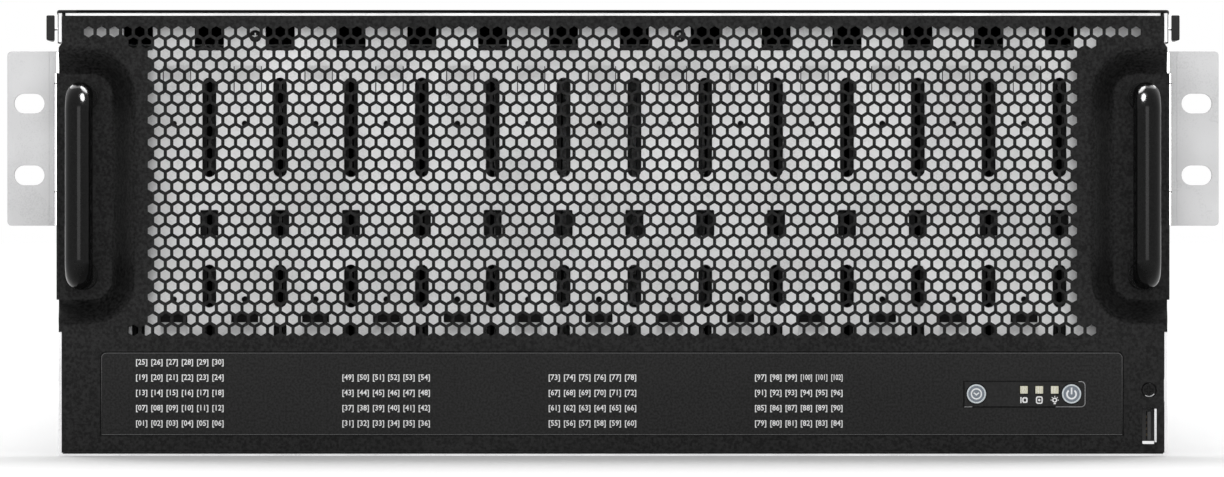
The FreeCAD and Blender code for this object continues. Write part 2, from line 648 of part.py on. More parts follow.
def make_service_port():
    """The upright service port at the right: a folded shell, a tongue, and a small board."""
    x = ("port_x - port_wide / 2", "port_x + port_wide / 2")
    z = ("port_low", "port_low + port_tall")
    shell = box("port_block", x, ("port_face", "port_back"), z)
    hollow = box("port_hollow", (f"{x[0]} + port_sheet", f"{x[1]} - port_sheet"),
                 ("port_face - wall", "port_back + wall"), (f"{z[0]} + port_sheet", f"{z[1]} - port_sheet"))
    piece("service_port_shell", cut("service_port_shell", shell, hollow))
    piece("service_port_tongue", box(
        "service_port_tongue", ("port_x - tongue_thick / 2", "port_x + tongue_thick / 2"),
        ("port_face + tongue_margin", "port_back"), (f"{z[0]} + tongue_margin", f"{z[1]} - tongue_margin")))
    piece("service_port_board", box(
        "service_port_board", (f"{x[0]} - board_margin", "tub_inner - 2 * fit"),
        ("port_back", "port_back + board"), ("wall", f"{z[1]} + board_margin")))


def round_edges(owner, base, x, y, radius):
    """Rounds the edges of a body's last feature whose middles stand over one point of the plan."""
    doc.recompute()
    spot = (value(x), value(y))
    near = [f"Edge{number}" for number, edge in enumerate(base.Shape.Edges, start=1)
            if math.dist(spot, (edge.CenterOfMass.x, edge.CenterOfMass.y)) < value("shaft_fit")]
    made = owner.newObject("PartDesign::Fillet", base.Name + "_round")
    made.Base = (base, near)
    tie(made, "Radius", radius)
    return made


def make_ears():
    """Angle brackets on the chassis sides, with two slots each for the rack's screws."""
    right = doc.addObject("PartDesign::Body", "rack_ear_right")
    angle = sketch(right, "ear_angle", "XY_Plane", "ear_low")
    outline(angle, ("tub_half", "-ear_sheet"), ("ear_out", "-ear_sheet"), ("ear_out", "0"),
            ("ear_in", "0"), ("ear_in", "ear_arm"), ("tub_half", "ear_arm"))
    pad(right, angle, "ear_tall")
    slots = sketch(right, "ear_slots", "XZ_Plane", "ear_sheet")
    for z in ("slot_z", "slot_z + slot_step"):
        slot_outline(slots, "slot_x", z, "slot_long", "slot_wide")
    cut_slots = pocket(right, slots, "ear_sheet")
    doc.recompute()
    rounded = round_edges(right, cut_slots, "ear_out", "-ear_sheet / 2", "ear_corner")
    right.Tip = round_edges(right, rounded, "ear_in", "0", "ear_bend")
    piece("rack_ear_right", right)
    piece("rack_ear_left", mirror("rack_ear_left", right))
    spots = [("ear_in", f"ear_screw_y + {row} * ear_arm / 2", "ear_low + ear_tall / 2") for row in range(2)]
    heads = [nut(f"ear_head_{row}", "x", spot, "head_tall / 2") for row, spot in enumerate(spots)]
    both = group("ear_heads_right", heads)
    piece("ear_screws", group("ear_screws", [both, mirror("ear_heads_left", both)]))


def make_cover():
    """The lid that slides back to come off, and the release tab on each of its sides."""
    y = ("panel_face", "tub_back")
    top = box("cover_top_sheet", ("-cover_out", "cover_out"), y, ("cover_under", "cover_top"))
    side = box("cover_side", ("cover_in", "cover_out"), y, ("cover_low", "cover_under"))
    whole = fuse("cover_blank", top, side, mirror("cover_side_left", side))
    hole = rod("tab_hole", "x", "tab_stem + running_fit", ("cover_in - wall", "tab_y", "tab_z"),
               "cover_sheet + 2 * wall")
    piece("top_cover", cut("top_cover", whole, hole, mirror("tab_hole_left", hole)))
    paddle = box("tab_paddle", ("tab_in", "tab_in + tab_thick"), ("tab_front", "tab_front + tab_long"),
                 ("tab_high - tab_tall", "tab_high"))
    stem = flat_rod("tab_stem_rod", "x", "shaft_sides", "tab_stem", ("tub_inner", "tab_y", "tab_z"),
                    "tab_in - tub_inner")
    right = piece("cover_tab_right", fuse("cover_tab_right", paddle, stem))
    piece("cover_tab_left", mirror("cover_tab_left", right))


def upright_slot(wide, tall, deep):
    """An upright slot as a cutting solid, its foot at the origin and its ends cut round."""
    r, ends = wide / 2, int(value("slot_ends"))
    turns = [math.radians(180 / ends * number) for number in range(ends + 1)]
    over = [Vector(r * math.cos(turn), 0, tall - r + r * math.sin(turn)) for turn in turns]
    under = [Vector(-r * math.cos(turn), 0, r - r * math.sin(turn)) for turn in turns]
    return prism(over + under + over[:1], deep)


def cage_columns():
    """The places of the slot columns, one between each two columns of disks."""
    pitch, room = value("cage_pitch"), value("tub_inner - disk_margin")
    return [number * pitch - room for number in range(1, int(2 * room / pitch))]


def make_cage_wall():
    """The bright front wall of the disk bays, with a column of openings between bays."""
    plate = box("cage_plate", ("-tub_inner + fit", "tub_inner - fit"),
                ("cage_face", "cage_face + cage_sheet"), ("wall", "tub_top - wall - fit"))
    deep = value("3 * cage_sheet")
    tools = []
    for kind in ("tall_slot", "low_slot", "window", "crown"):
        wide, tall = value(kind + "_wide"), value(kind + "_tall")
        if kind.endswith("slot"):
            shape = upright_slot(wide, tall, deep)
        else:
            shape = Part.makeBox(wide, deep, tall, Vector(-wide / 2, 0, 0))
        for x in cage_columns():
            tool = shape.copy()
            tool.translate(Vector(x, 0, value(kind + "_rise")))
            tools.append(tool)
    slots = feature("cage_slots", Part.makeCompound(tools))
    tie_base(slots, "0", "cage_face - cage_sheet", "dish_low")
    piece("cage_front_wall", cut("cage_front_wall", plate, slots))


def bay_spots(zone, columns):
    """Where the bays of one zone stand, for the columns asked, row by row."""
    pitch, row_pitch, zone_rows = value("cage_pitch"), value("row_pitch"), int(value("zone_rows"))
    left = -value("tub_inner - disk_margin") + (pitch - value("disk_thick")) / 2
    return [Vector(left + column * pitch, (zone * zone_rows + row) * row_pitch, 0)
            for row in range(zone_rows) for column in columns]


def bay_columns(zone):
    """The count of disk columns: full rows in the first zone, narrower ones behind."""
    full = int(2 * value("tub_inner - disk_margin") / value("cage_pitch"))
    return full - int(value("narrow_by")) if zone else full


def make_bays():
    """Disks on end in zones, each zone on its own board, with a wall behind each row."""
    disk_y = ("row_start + row_wall / 2", "row_start + row_wall / 2 + disk_deep")
    disk = box("disk", ("0", "disk_thick"), disk_y, ("disk_low", "disk_low + disk_tall"))
    zones = int(value("zones"))
    zone_long = value("zone_rows * row_pitch")
    for zone in range(zones):
        spots = bay_spots(zone, range(bay_columns(zone)))
        piece(f"disks_zone_{zone + 1}", copies(f"disks_zone_{zone + 1}", disk, spots))
    hood_wide = "(narrow_by - 1) * cage_pitch + disk_thick"
    hood = box("hood_block", ("0", hood_wide), disk_y, ("disk_low", "disk_low + disk_tall"))
    hood_space = box("hood_space", ("wall", f"{hood_wide} - wall"),
                     (f"{disk_y[0]} + wall", f"{disk_y[1]} - wall"),
                     ("board_under", "disk_low + disk_tall - wall"))
    hood_spots = [spot for zone in range(1, zones) for spot in bay_spots(zone, [bay_columns(zone)])]
    piece("expander_hoods", copies("expander_hoods", cut("expander_hood", hood, hood_space), hood_spots))
    plank = box("zone_plank", ("-tub_inner + fit", "tub_inner - fit"),
                ("row_start", "row_start + zone_rows * row_pitch - fit"), ("board_under", "disk_low"))
    zone_starts = [Vector(0, zone * zone_long, 0) for zone in range(zones)]
    piece("bay_boards", copies("bay_boards", plank, zone_starts))
    rails = []
    for side in ("-1", "1"):
        x = (f"{side} * rail_apart - rail_wide / 2", f"{side} * rail_apart + rail_wide / 2")
        block = box(f"rail_block_{side}", x, ("row_start", "row_end"), ("wall", "board_under"))
        under = box(f"rail_under_{side}", (f"{x[0]} + rail_sheet", f"{x[1]} - rail_sheet"),
                    ("row_start - wall", "row_end + wall"), ("0", "board_under - rail_sheet"))
        rails.append(cut(f"board_rail_{side}", block, under))
    piece("board_rails", group("board_rails", rails))
    gap = "(row_pitch - disk_deep - row_wall) / 2"
    row_wall = box("row_wall_sheet", ("-tub_inner + fit", "tub_inner - fit"),
                   (f"row_start + row_wall / 2 + disk_deep + {gap} - row_wall / 2",
                    f"row_start + row_wall / 2 + disk_deep + {gap} + row_wall / 2"),
                   ("disk_low", "disk_low + row_wall_tall"))
    rows = int(value("rows"))
    step = value("row_pitch")
    piece("row_walls", copies("row_walls", row_wall, [Vector(0, row * step, 0) for row in range(rows)]))


def fan_centres():
    """The places of the fans across the rear."""
    count, pitch = int(value("fan_count")), value("fan_pitch")
    return [(number - (count - 1) / 2) * pitch for number in range(count)]


def make_rear_frame():
    """The rear wall: slotted vents for the fans above, bays for the modules below."""
    plate = box("rear_plate", ("-tub_inner + fit", "tub_inner - fit"), ("frame_face", "tub_back"),
                ("wall", "tub_top - fit"))
    psu_bay = box("psu_opening", ("-bay_in", "bay_in"), ("frame_face - wall", "tub_back + wall"),
                  ("wall - fit", "bay_top - bay_sheet"))
    right = box("ctrl_opening", ("ctrl_in - bay_fit", "ctrl_out + bay_fit / 2"),
                ("frame_face - wall", "tub_back + wall"), ("wall - fit", "ctrl_high + bay_fit"))
    bore, wide, step = value("fan_bore"), value("vent_slot"), value("vent_pitch")
    reach = int((bore - wide / 2) / step)
    thick = value("wall")
    tools = []
    for centre in fan_centres():
        for number in range(-reach, reach + 1):
            edge = abs(number) * step + wide / 2
            half = math.sqrt(bore ** 2 - edge ** 2)
            block = Part.makeBox(wide, 3 * thick, 2 * half)
            block.translate(Vector(centre + number * step - wide / 2, 0, -half))
            tools.append(block)
    vents = feature("fan_vents", Part.makeCompound(tools))
    tie_base(vents, "0", "frame_face - wall", "fan_z")
    piece("rear_frame", cut("rear_frame", plate, psu_bay, right, mirror("ctrl_opening_left", right), vents))


def blade(number):
    """One pitched fan blade, turned to its place about the shaft."""
    chord, thick, pitch = value("blade_chord"), value("blade_thick"), value("blade_pitch")
    corner = value("fan_bore - fan_tip_gap")
    root = value("fan_hub - blade_thick")
    tip = math.sqrt(corner ** 2 - (chord / 2 + thick) ** 2)
    shape = Part.makeBox(tip - root, chord, thick, Vector(root, -chord / 2, -thick / 2))
    shape.rotate(Vector(0, 0, 0), Vector(1, 0, 0), pitch)
    shape.rotate(Vector(0, 0, 0), Vector(0, 1, 0), 360 / value("blade_count") * number)
    return shape


def fan_frame():
    """A square frame with a round duct and a stator that carries the rotor's shaft."""
    side, deep, base, strut = (value(name) for name in ("fan_side", "fan_deep", "fan_base", "fan_strut"))
    sides = int(value("round_sides"))
    block = Part.makeBox(side, deep, side, Vector(-side / 2, 0, -side / 2))
    shell = block.cut(prism(ring(value("fan_bore"), sides), deep))
    cross = [Part.makeBox(side, base, strut, Vector(-side / 2, 0, -strut / 2)),
             Part.makeBox(strut, base, side, Vector(-strut / 2, 0, -side / 2)),
             prism(ring(value("fan_hub"), int(value("hub_sides"))), base)]
    for bar in cross:
        bar.translate(Vector(0, deep - base, 0))
    turns = int(value("shaft_sides"))
    hole = prism(ring(value("fan_shaft + shaft_fit") / math.cos(math.pi / turns), turns), deep)
    return shell.fuse(cross).removeSplitter().cut(hole)


def fan_rotor():
    """A hub with blades about the origin, and the shaft that runs in the stator behind it."""
    long, base = value("fan_hub_long"), value("fan_base")
    hub = prism(ring(value("fan_hub"), int(value("hub_sides"))), long)
    hub.translate(Vector(0, -long / 2, 0))
    blades = [blade(number) for number in range(int(value("blade_count")))]
    shaft = prism(ring(value("fan_shaft"), int(value("shaft_sides"))), long / 2 + base)
    return hub.fuse(blades + [shaft]).removeSplitter()


def make_fans():
    """Square fans behind the vents: frames in one group, each rotor on its own."""
    source = feature("fan_frame", fan_frame())
    spots = [Vector(x, value("frame_face"), value("fan_z")) for x in fan_centres()]
    forward = Vector(0, -value("fan_deep"), 0)
    piece("fan_frames", copies("fan_frames", source, [spot + forward for spot in spots]))
    rotor = fan_rotor()
    inside = Vector(0, -value("fan_base + fit + fan_hub_long / 2"), 0)
    for number, spot in enumerate(spots, start=1):
        made = feature(f"fan_rotor_{number}", rotor)
        made.Placement.Base = spot + inside
        piece(f"fan_rotor_{number}", made)


def make_psu_bay():
    """The folded bay that carries the two power supplies."""
    y = ("tub_back - psu_deep", "frame_face")
    side = box("bay_side", ("bay_in", "bay_out"), y, ("wall", "bay_top"))
    shelf = box("bay_shelf", ("-bay_in", "bay_in"), y, ("shelf_under", "shelf_under + bay_sheet"))
    roof = box("bay_roof", ("-bay_in", "bay_in"), y, ("bay_top - bay_sheet", "bay_top"))
    piece("psu_bay", fuse("psu_bay", side, mirror("bay_side_left", side), shelf, roof))


def strap(name, x, back, reach, low, high, bar):
    """A flat pull strap bent to a U, standing out behind a face at back."""
    outer = box(name + "_outer", (x, f"{x} + {bar}"), (back, f"{back} + {reach}"), (low, high))
    inner = box(name + "_inner", (f"{x} - {bar}", f"{x} + 2 * {bar}"),
                (f"{back} - {bar}", f"{back} + {reach} - {bar}"), (f"{low} + {bar}", f"{high} - {bar}"))
    return cut(name, outer, inner)


def make_psu(number, low):
    """One power supply: case with inlet and blower recess, pull strap, pins and latch."""
    name = f"psu_{number}"
    high = f"{low} + psu_tall"
    middle = f"{low} + psu_tall / 2"
    case = box(name + "_block", ("-psu_half", "psu_half"), ("tub_back - psu_deep + fit", "tub_back"),
               (low, high))
    x = ("-psu_half + inlet_left", "-psu_half + inlet_left + inlet_wide")
    z = (f"{middle} - inlet_tall / 2", f"{middle} + inlet_tall / 2")
    well = box(name + "_well", x, ("tub_back - inlet_deep", "tub_back + wall"), z)
    blower_start = ("psu_half / 2 - latch_travel", "tub_back - blower_deep", middle)
    blower = flat_rod(name + "_blower", "y", "round_sides", "blower_hole", blower_start,
                      "blower_deep + wall")
    piece(name + "_case", cut(name + "_case", case, well, blower))
    pin_x = f"{x[0]} + inlet_wide / 2"
    pins = []
    places = (("-pin_apart", "-pin_rise"), ("0", "pin_rise"), ("pin_apart", "-pin_rise"))
    for pin, (aside, rise) in enumerate(places):
        pin_spot, pin_height = f"{pin_x} + ({aside})", f"{middle} + ({rise})"
        pins.append(box(f"{name}_pin_{pin}",
                        (f"{pin_spot} - pin_thick / 2", f"{pin_spot} + pin_thick / 2"),
                        ("tub_back - inlet_deep", "tub_back - inlet_deep + pin_long"),
                        (f"{pin_height} - pin_tall / 2", f"{pin_height} + pin_tall / 2")))
    piece(name + "_pins", group(name + "_pins", pins))
    piece(name + "_pull", strap(name + "_pull", "0", "tub_back", "pull_reach", f"{low} + pull_margin",
                                f"{high} - pull_margin", "pull_bar"))
    right = ("psu_half - latch_wide", "psu_half - latch_wide + latch_thick")
    stalk = box(name + "_stalk", right, ("tub_back + shaft_fit", "tub_back + latch_reach"),
                (f"{middle} - latch_tall / 2", f"{middle} + latch_tall / 2"))
    piece(name + "_latch", stalk)


def make_controller(side):
    """One controller module: tray with face plate, board, heat sink, ports, pull and screws."""
    name = "controller_" + side
    y = ("tub_back - ctrl_deep + fit", "tub_back")
    x = ("ctrl_in", "ctrl_out")
    floor = box(name + "_floor", x, y, ("ctrl_low", "ctrl_low + ctrl_sheet"))
    walls = [box(f"{name}_wall_{end}", span, y, ("ctrl_low", "ctrl_high"))
             for end, span in (("in", ("ctrl_in", "ctrl_in + ctrl_sheet")),
                               ("out", ("ctrl_out - ctrl_sheet", "ctrl_out")))]
    plate = box(name + "_plate", x, ("tub_back - ctrl_sheet", "tub_back"), ("ctrl_low", "ctrl_high"))
    deck = "ctrl_low + ctrl_board_lift"
    ledges = [box(f"{name}_ledge_{end}", span, ("tub_back - ctrl_deep + fit", "tub_back - ctrl_sheet"),
                  (f"{deck} - ctrl_sheet", deck))
              for end, span in (("in", ("ctrl_in", "ctrl_in + 4 * ctrl_sheet")),
                                ("out", ("ctrl_out - 4 * ctrl_sheet", "ctrl_out")))]
    openings, cages = [], []
    base = f"{deck} + board"
    jack = ("jack_wide", "jack_tall", "jack_long")
    ports = [(f"ctrl_in + ports_left + {n} * cage_step", "cage_wide", "cage_tall", "cage_long")
             for n in range(int(value("port_count")))]
    ports.append(("ctrl_in + ports_left + port_count * cage_step",) + jack)
    for number, (left, wide, tall, long) in enumerate(ports):
        span, rise = (left, f"{left} + {wide}"), (base, f"{base} + {tall}")
        openings.append(box(f"{name}_gap_{number}", (f"{span[0]} - fit", f"{span[1]} + fit"),
                            ("tub_back - 2 * ctrl_sheet", "tub_back + ctrl_sheet"),
                            (f"{rise[0]} - fit", f"{rise[1]} + fit")))
        block = box(f"{name}_cage_{number}", span, (f"tub_back - {long}", "tub_back + bezel_proud"), rise)
        well = box(f"{name}_well_{number}", (f"{span[0]} + cage_skin", f"{span[1]} - cage_skin"),
                   (f"tub_back - {long} + cage_skin", "tub_back + wall"),
                   (f"{rise[0]} + cage_skin", f"{rise[1]} - cage_skin"))
        cages.append(cut(f"{name}_port_{number}", block, well))
    tray = cut(name + "_tray", fuse(name + "_shell", floor, plate, *walls, *ledges), *openings)
    card = box(name + "_card", ("ctrl_in + ctrl_sheet + fit", "ctrl_out - ctrl_sheet - fit"),
               ("tub_back - ctrl_deep + 2 * fit", "tub_back - ctrl_sheet - fit"), (deck, base))
    sink_left = "(ctrl_in + ctrl_out - sink_side) / 2"
    sink_y = ("tub_back - ctrl_deep / 2 - sink_side", "tub_back - ctrl_deep / 2")
    fin_step = "(sink_side - fin_thick) / (fin_count - 1)"
    fin_sides = [f"{sink_left} + {number} * {fin_step}" for number in range(int(value("fin_count")))]
    fins = [box(f"{name}_fin_{number}", (fin_side, f"{fin_side} + fin_thick"), sink_y,
                (f"{base} + sink_base", f"{base} + sink_tall"))
            for number, fin_side in enumerate(fin_sides)]
    foot = box(name + "_sink_foot", (sink_left, f"{sink_left} + sink_side"), sink_y,
               (base, f"{base} + sink_base"))
    sink = fuse(name + "_sink", foot, *fins)
    bar_low, bar_high = "ctrl_high - 4 * pull_bar", "ctrl_high - 3 * pull_bar"
    bar_x = ("(ctrl_in + ctrl_out - ctrl_pull_wide) / 2", "(ctrl_in + ctrl_out + ctrl_pull_wide) / 2")
    outer = box(name + "_pull_outer", bar_x, ("tub_back", "tub_back + ctrl_pull_reach"), (bar_low, bar_high))
    inner = box(name + "_pull_inner", (f"{bar_x[0]} + pull_bar", f"{bar_x[1]} - pull_bar"),
                ("tub_back - wall", "tub_back + ctrl_pull_reach - pull_bar"),
                (f"{bar_low} - wall", f"{bar_high} + wall"))
    pull = cut(name + "_pull", outer, inner)
    heads = [flat_rod(f"{name}_thumb_{end}", "y", "round_sides", "thumb_head",
                      (spot, "tub_back", "ctrl_high - 2 * thumb_head"), "thumb_long")
             for end, spot in (("in", "ctrl_in + 2 * thumb_head"), ("out", "ctrl_out - 2 * thumb_head"))]
    parts = {"tray": tray, "card": card, "sink": sink, "ports": group(name + "_ports", cages),
             "pull": pull, "screws": group(name + "_screws", heads)}
    for part, thing in parts.items():
        if side == "left":
            thing.Label = f"{name}_{part}_source"
            thing = mirror(f"{name}_{part}_mirrored", thing)
        piece(f"{name}_{part}", thing)


def write_steps():
    """Checks every object and every piece, then writes one file per piece."""
    doc.recompute()
    failed = [thing.Label for thing in doc.Objects if {"Invalid", "Error"} & set(thing.State)]
    failed += [thing.Label for thing in PIECES if thing.Shape.isNull() or not thing.Shape.isValid()]
    if failed:
        raise RuntimeError("failed objects: " + ", ".join(failed))
    os.makedirs("parts", exist_ok=True)
    for thing in PIECES:
        thing.Shape.exportStep(f"parts/{thing.Label}.step")


fill_sheet()
make_chassis()
make_front_panel()
make_handles()
make_controls()
make_service_port()
make_ears()
make_cover()
make_cage_wall()
make_bays()
make_rear_frame()
make_fans()
make_psu_bay()
make_psu(1, "wall + bay_fit")
make_psu(2, "shelf_under + bay_sheet + bay_fit")
make_controller("right")
make_controller("left")
write_steps()
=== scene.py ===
"""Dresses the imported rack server: fine meshes, finishes, studio and camera."""

import logging
import math
from dataclasses import dataclass
from enum import Enum
from typing import Iterable, Sequence

import bmesh
import bpy
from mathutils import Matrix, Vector
from mathutils.geometry import delaunay_2d_cdt


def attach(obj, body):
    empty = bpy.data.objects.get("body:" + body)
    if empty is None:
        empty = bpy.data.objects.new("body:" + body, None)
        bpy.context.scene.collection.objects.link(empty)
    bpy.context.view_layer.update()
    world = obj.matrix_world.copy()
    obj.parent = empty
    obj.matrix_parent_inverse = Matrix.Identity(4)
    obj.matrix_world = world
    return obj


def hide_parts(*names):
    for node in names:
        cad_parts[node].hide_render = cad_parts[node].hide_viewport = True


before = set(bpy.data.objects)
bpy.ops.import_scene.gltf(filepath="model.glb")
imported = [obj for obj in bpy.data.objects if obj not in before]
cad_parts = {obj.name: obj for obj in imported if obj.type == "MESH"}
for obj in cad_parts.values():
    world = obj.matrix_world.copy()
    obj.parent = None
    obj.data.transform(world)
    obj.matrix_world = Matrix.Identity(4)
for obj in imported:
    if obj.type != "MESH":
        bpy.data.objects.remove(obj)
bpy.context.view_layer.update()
log = logging.getLogger("rack_server")

MM = 0.001
SAME_POINT = 1e-7   # millimetres within which two outline points are one
WELD = 0.0005       # millimetres within which two mesh points are joined
SHEET_CUT = 0.12    # millimetres that a sheet's edge is broken
Point2 = tuple[float, float]
Point3 = tuple[float, float, float]
Colour = tuple[float, float, float]
Loop = list[Point2]
Row = tuple[float, ...]
Line = tuple[Point2, ...]


class Way(Enum):
    """The plane that a flat outline stands in, and the way its depth runs."""

    FRONT = "outline in X and Z, depth along Y"
    TOP = "outline in X and Y, depth along Z"
    SIDE = "outline in Y and Z, depth along X"

    def place(self, u: float, v: float, deep: float) -> Point3:
        """Gives the point in space for a point of the outline and a depth."""
        if self is Way.FRONT:
            return (u, deep, v)
        if self is Way.TOP:
            return (u, v, deep)
        return (deep, u, v)


class Grain(Enum):
    """The small structure that a finish shows."""

    POWDER = "sprayed powder"
    ZINC = "zinc spangle"
    BRUSHED = "drawn lines"
    MOULDED = "mould texture"
    RIBBED = "fine ribs"


class Side(Enum):
    """Left or right, as the sign of X."""

    LEFT = -1
    RIGHT = 1


def rectangle(x0: float, x1: float, z0: float, z1: float, radius: float = 0.0, steps: int = 4) -> Loop:
    """Makes a rectangle's outline, counter-clockwise, with round or cut corners.

    Args:
        x0, x1: the sides.
        z0, z1: the lower and upper edge.
        radius: the corner radius.
        steps: the pieces of each corner; one piece is a plain cut.

    Returns:
        The corner points.
    """
    if radius <= 0:
        return [(x0, z0), (x1, z0), (x1, z1), (x0, z1)]
    centres = ((x1 - radius, z0 + radius, 270), (x1 - radius, z1 - radius, 0),
               (x0 + radius, z1 - radius, 90), (x0 + radius, z0 + radius, 180))
    return [point for x, z, start in centres for point in arc((x, z), radius, start, start + 90, steps)]


def arc(centre: Point2, radius: float, first: float, last: float, steps: int) -> Loop:
    """Gives points on an arc from one angle to another, in degrees, ends included."""
    turns = [math.radians(first + (last - first) * n / steps) for n in range(steps + 1)]
    return [(centre[0] + radius * math.cos(t), centre[1] + radius * math.sin(t)) for t in turns]


def circle(x: float, z: float, radius: float, sides: int, turn: float = 0.0) -> Loop:
    """Makes a regular outline about a point, counter-clockwise."""
    return arc((x, z), radius, turn, turn + 360 * (sides - 1) / sides, sides - 1)


def right_rounded(left: float, right: float, low: float, high: float, r: float) -> Loop:
    """Makes a rectangle's outline with only its right corners round."""
    return ([(left, low)] + arc((right - r, low + r), r, 270, 360, 5)
            + arc((right - r, high - r), r, 0, 90, 5) + [(left, high)])


def u_line(end: float, back: float, low: float, high: float, r: float, steps: int) -> Loop:
    """Makes an open U with round corners, from its low end round its back to its high end."""
    return ([(end, low)] + arc((back + r, low + r), r, 270, 180, steps)
            + arc((back + r, high - r), r, 180, 90, steps) + [(end, high)])


def obround(x: float, z0: float, z1: float, wide: float, steps: int = 8) -> Loop:
    """Makes an upright slot's outline with round ends."""
    r = wide / 2
    return arc((x, z1 - r), r, 0, 180, steps) + arc((x, z0 + r), r, 180, 360, steps)


def lying_obround(x: float, z: float, long: float, wide: float, steps: int = 10) -> Loop:
    """Makes a level slot's outline with round ends."""
    r = wide / 2
    reach = long / 2 - r
    return arc((x + reach, z), r, -90, 90, steps) + arc((x - reach, z), r, 90, 270, steps)


def turned(loop: Sequence[Point2], degrees: float, x: float, z: float) -> Loop:
    """Turns an outline about the origin and moves it to a point."""
    c, s = math.cos(math.radians(degrees)), math.sin(math.radians(degrees))
    return [(x + u * c - v * s, z + u * s + v * c) for u, v in loop]


def cross(x: float, z: float, reach: float, half: float) -> Loop:
    """Makes the outline of a cross recess."""
    corner = [(reach, -half), (reach, half), (half, half)]
    return [point for quarter in range(4) for point in turned(corner, 90 * quarter, x, z)]


def at_depth(loop: Loop, y: float) -> list[Vector]:
    """Stands an outline up at one depth, as a path for a bar."""
    return [Vector((x, y, z)) for x, z in loop]


def grown(loop: Loop, by: float) -> Loop:
    """Moves each edge of an outline outwards, or inwards where the amount is negative.

    Args:
        loop: the outline, counter-clockwise.
        by: how far each edge moves.

    Returns:
        The new outline, point for point.
    """
    made = []
    for before, here, after in zip(loop[-1:] + loop[:-1], loop, loop[1:] + loop[:1]):
        ax, az = here[0] - before[0], here[1] - before[1]
        bx, bz = after[0] - here[0], after[1] - here[1]
        one, two = math.hypot(ax, az), math.hypot(bx, bz)
        nx, nz = az / one + bz / two, -ax / one - bx / two
        scale = 2 * by / (nx * nx + nz * nz)
        made.append((here[0] + nx * scale, here[1] + nz * scale))
    return made


def mirrored(loop: Loop) -> Loop:
    """Mirrors an outline left to right and keeps it counter-clockwise."""
    return [(-x, z) for x, z in reversed(loop)]


def inside(spot: Point2, loop: Loop) -> bool:
    """Tells whether a point lies inside an outline."""
    crossed = False
    for (ax, az), (bx, bz) in zip(loop, loop[1:] + loop[:1]):
        if (az > spot[1]) != (bz > spot[1]) and spot[0] < (bx - ax) * (spot[1] - az) / (bz - az) + ax:
            crossed = not crossed
    return crossed


def flat_faces(loops: Sequence[Loop]) -> list[tuple[int, ...]]:
    """Fills an outline less its holes with triangles.

    A triangle that lies in a hole, or outside the outline, has all its corners on that one loop.

    Args:
        loops: the outline first, then the holes.

    Returns:
        Faces as numbers of points, counted through all loops in order.
    """
    points: list[Vector] = []
    owner: list[int] = []
    edges: list[tuple[int, int]] = []
    for number, loop in enumerate(loops):
        first = len(points)
        points += [Vector(point) for point in loop]
        owner += [number] * len(loop)
        edges += [(first + n, first + (n + 1) % len(loop)) for n in range(len(loop))]
    _, _, faces, origins, _, _ = delaunay_2d_cdt(points, edges, [], 0, SAME_POINT)
    kept = []
    for face in faces:
        corners = tuple(origins[n][0] for n in face)
        owners = {owner[n] for n in corners}
        if len(owners) == 1:
            number = owners.pop()
            middle = sum((points[n] for n in corners), Vector((0.0, 0.0))) / 3
            if inside((middle.x, middle.y), loops[number]) == bool(number):
                continue
        kept.append(corners)
    return kept


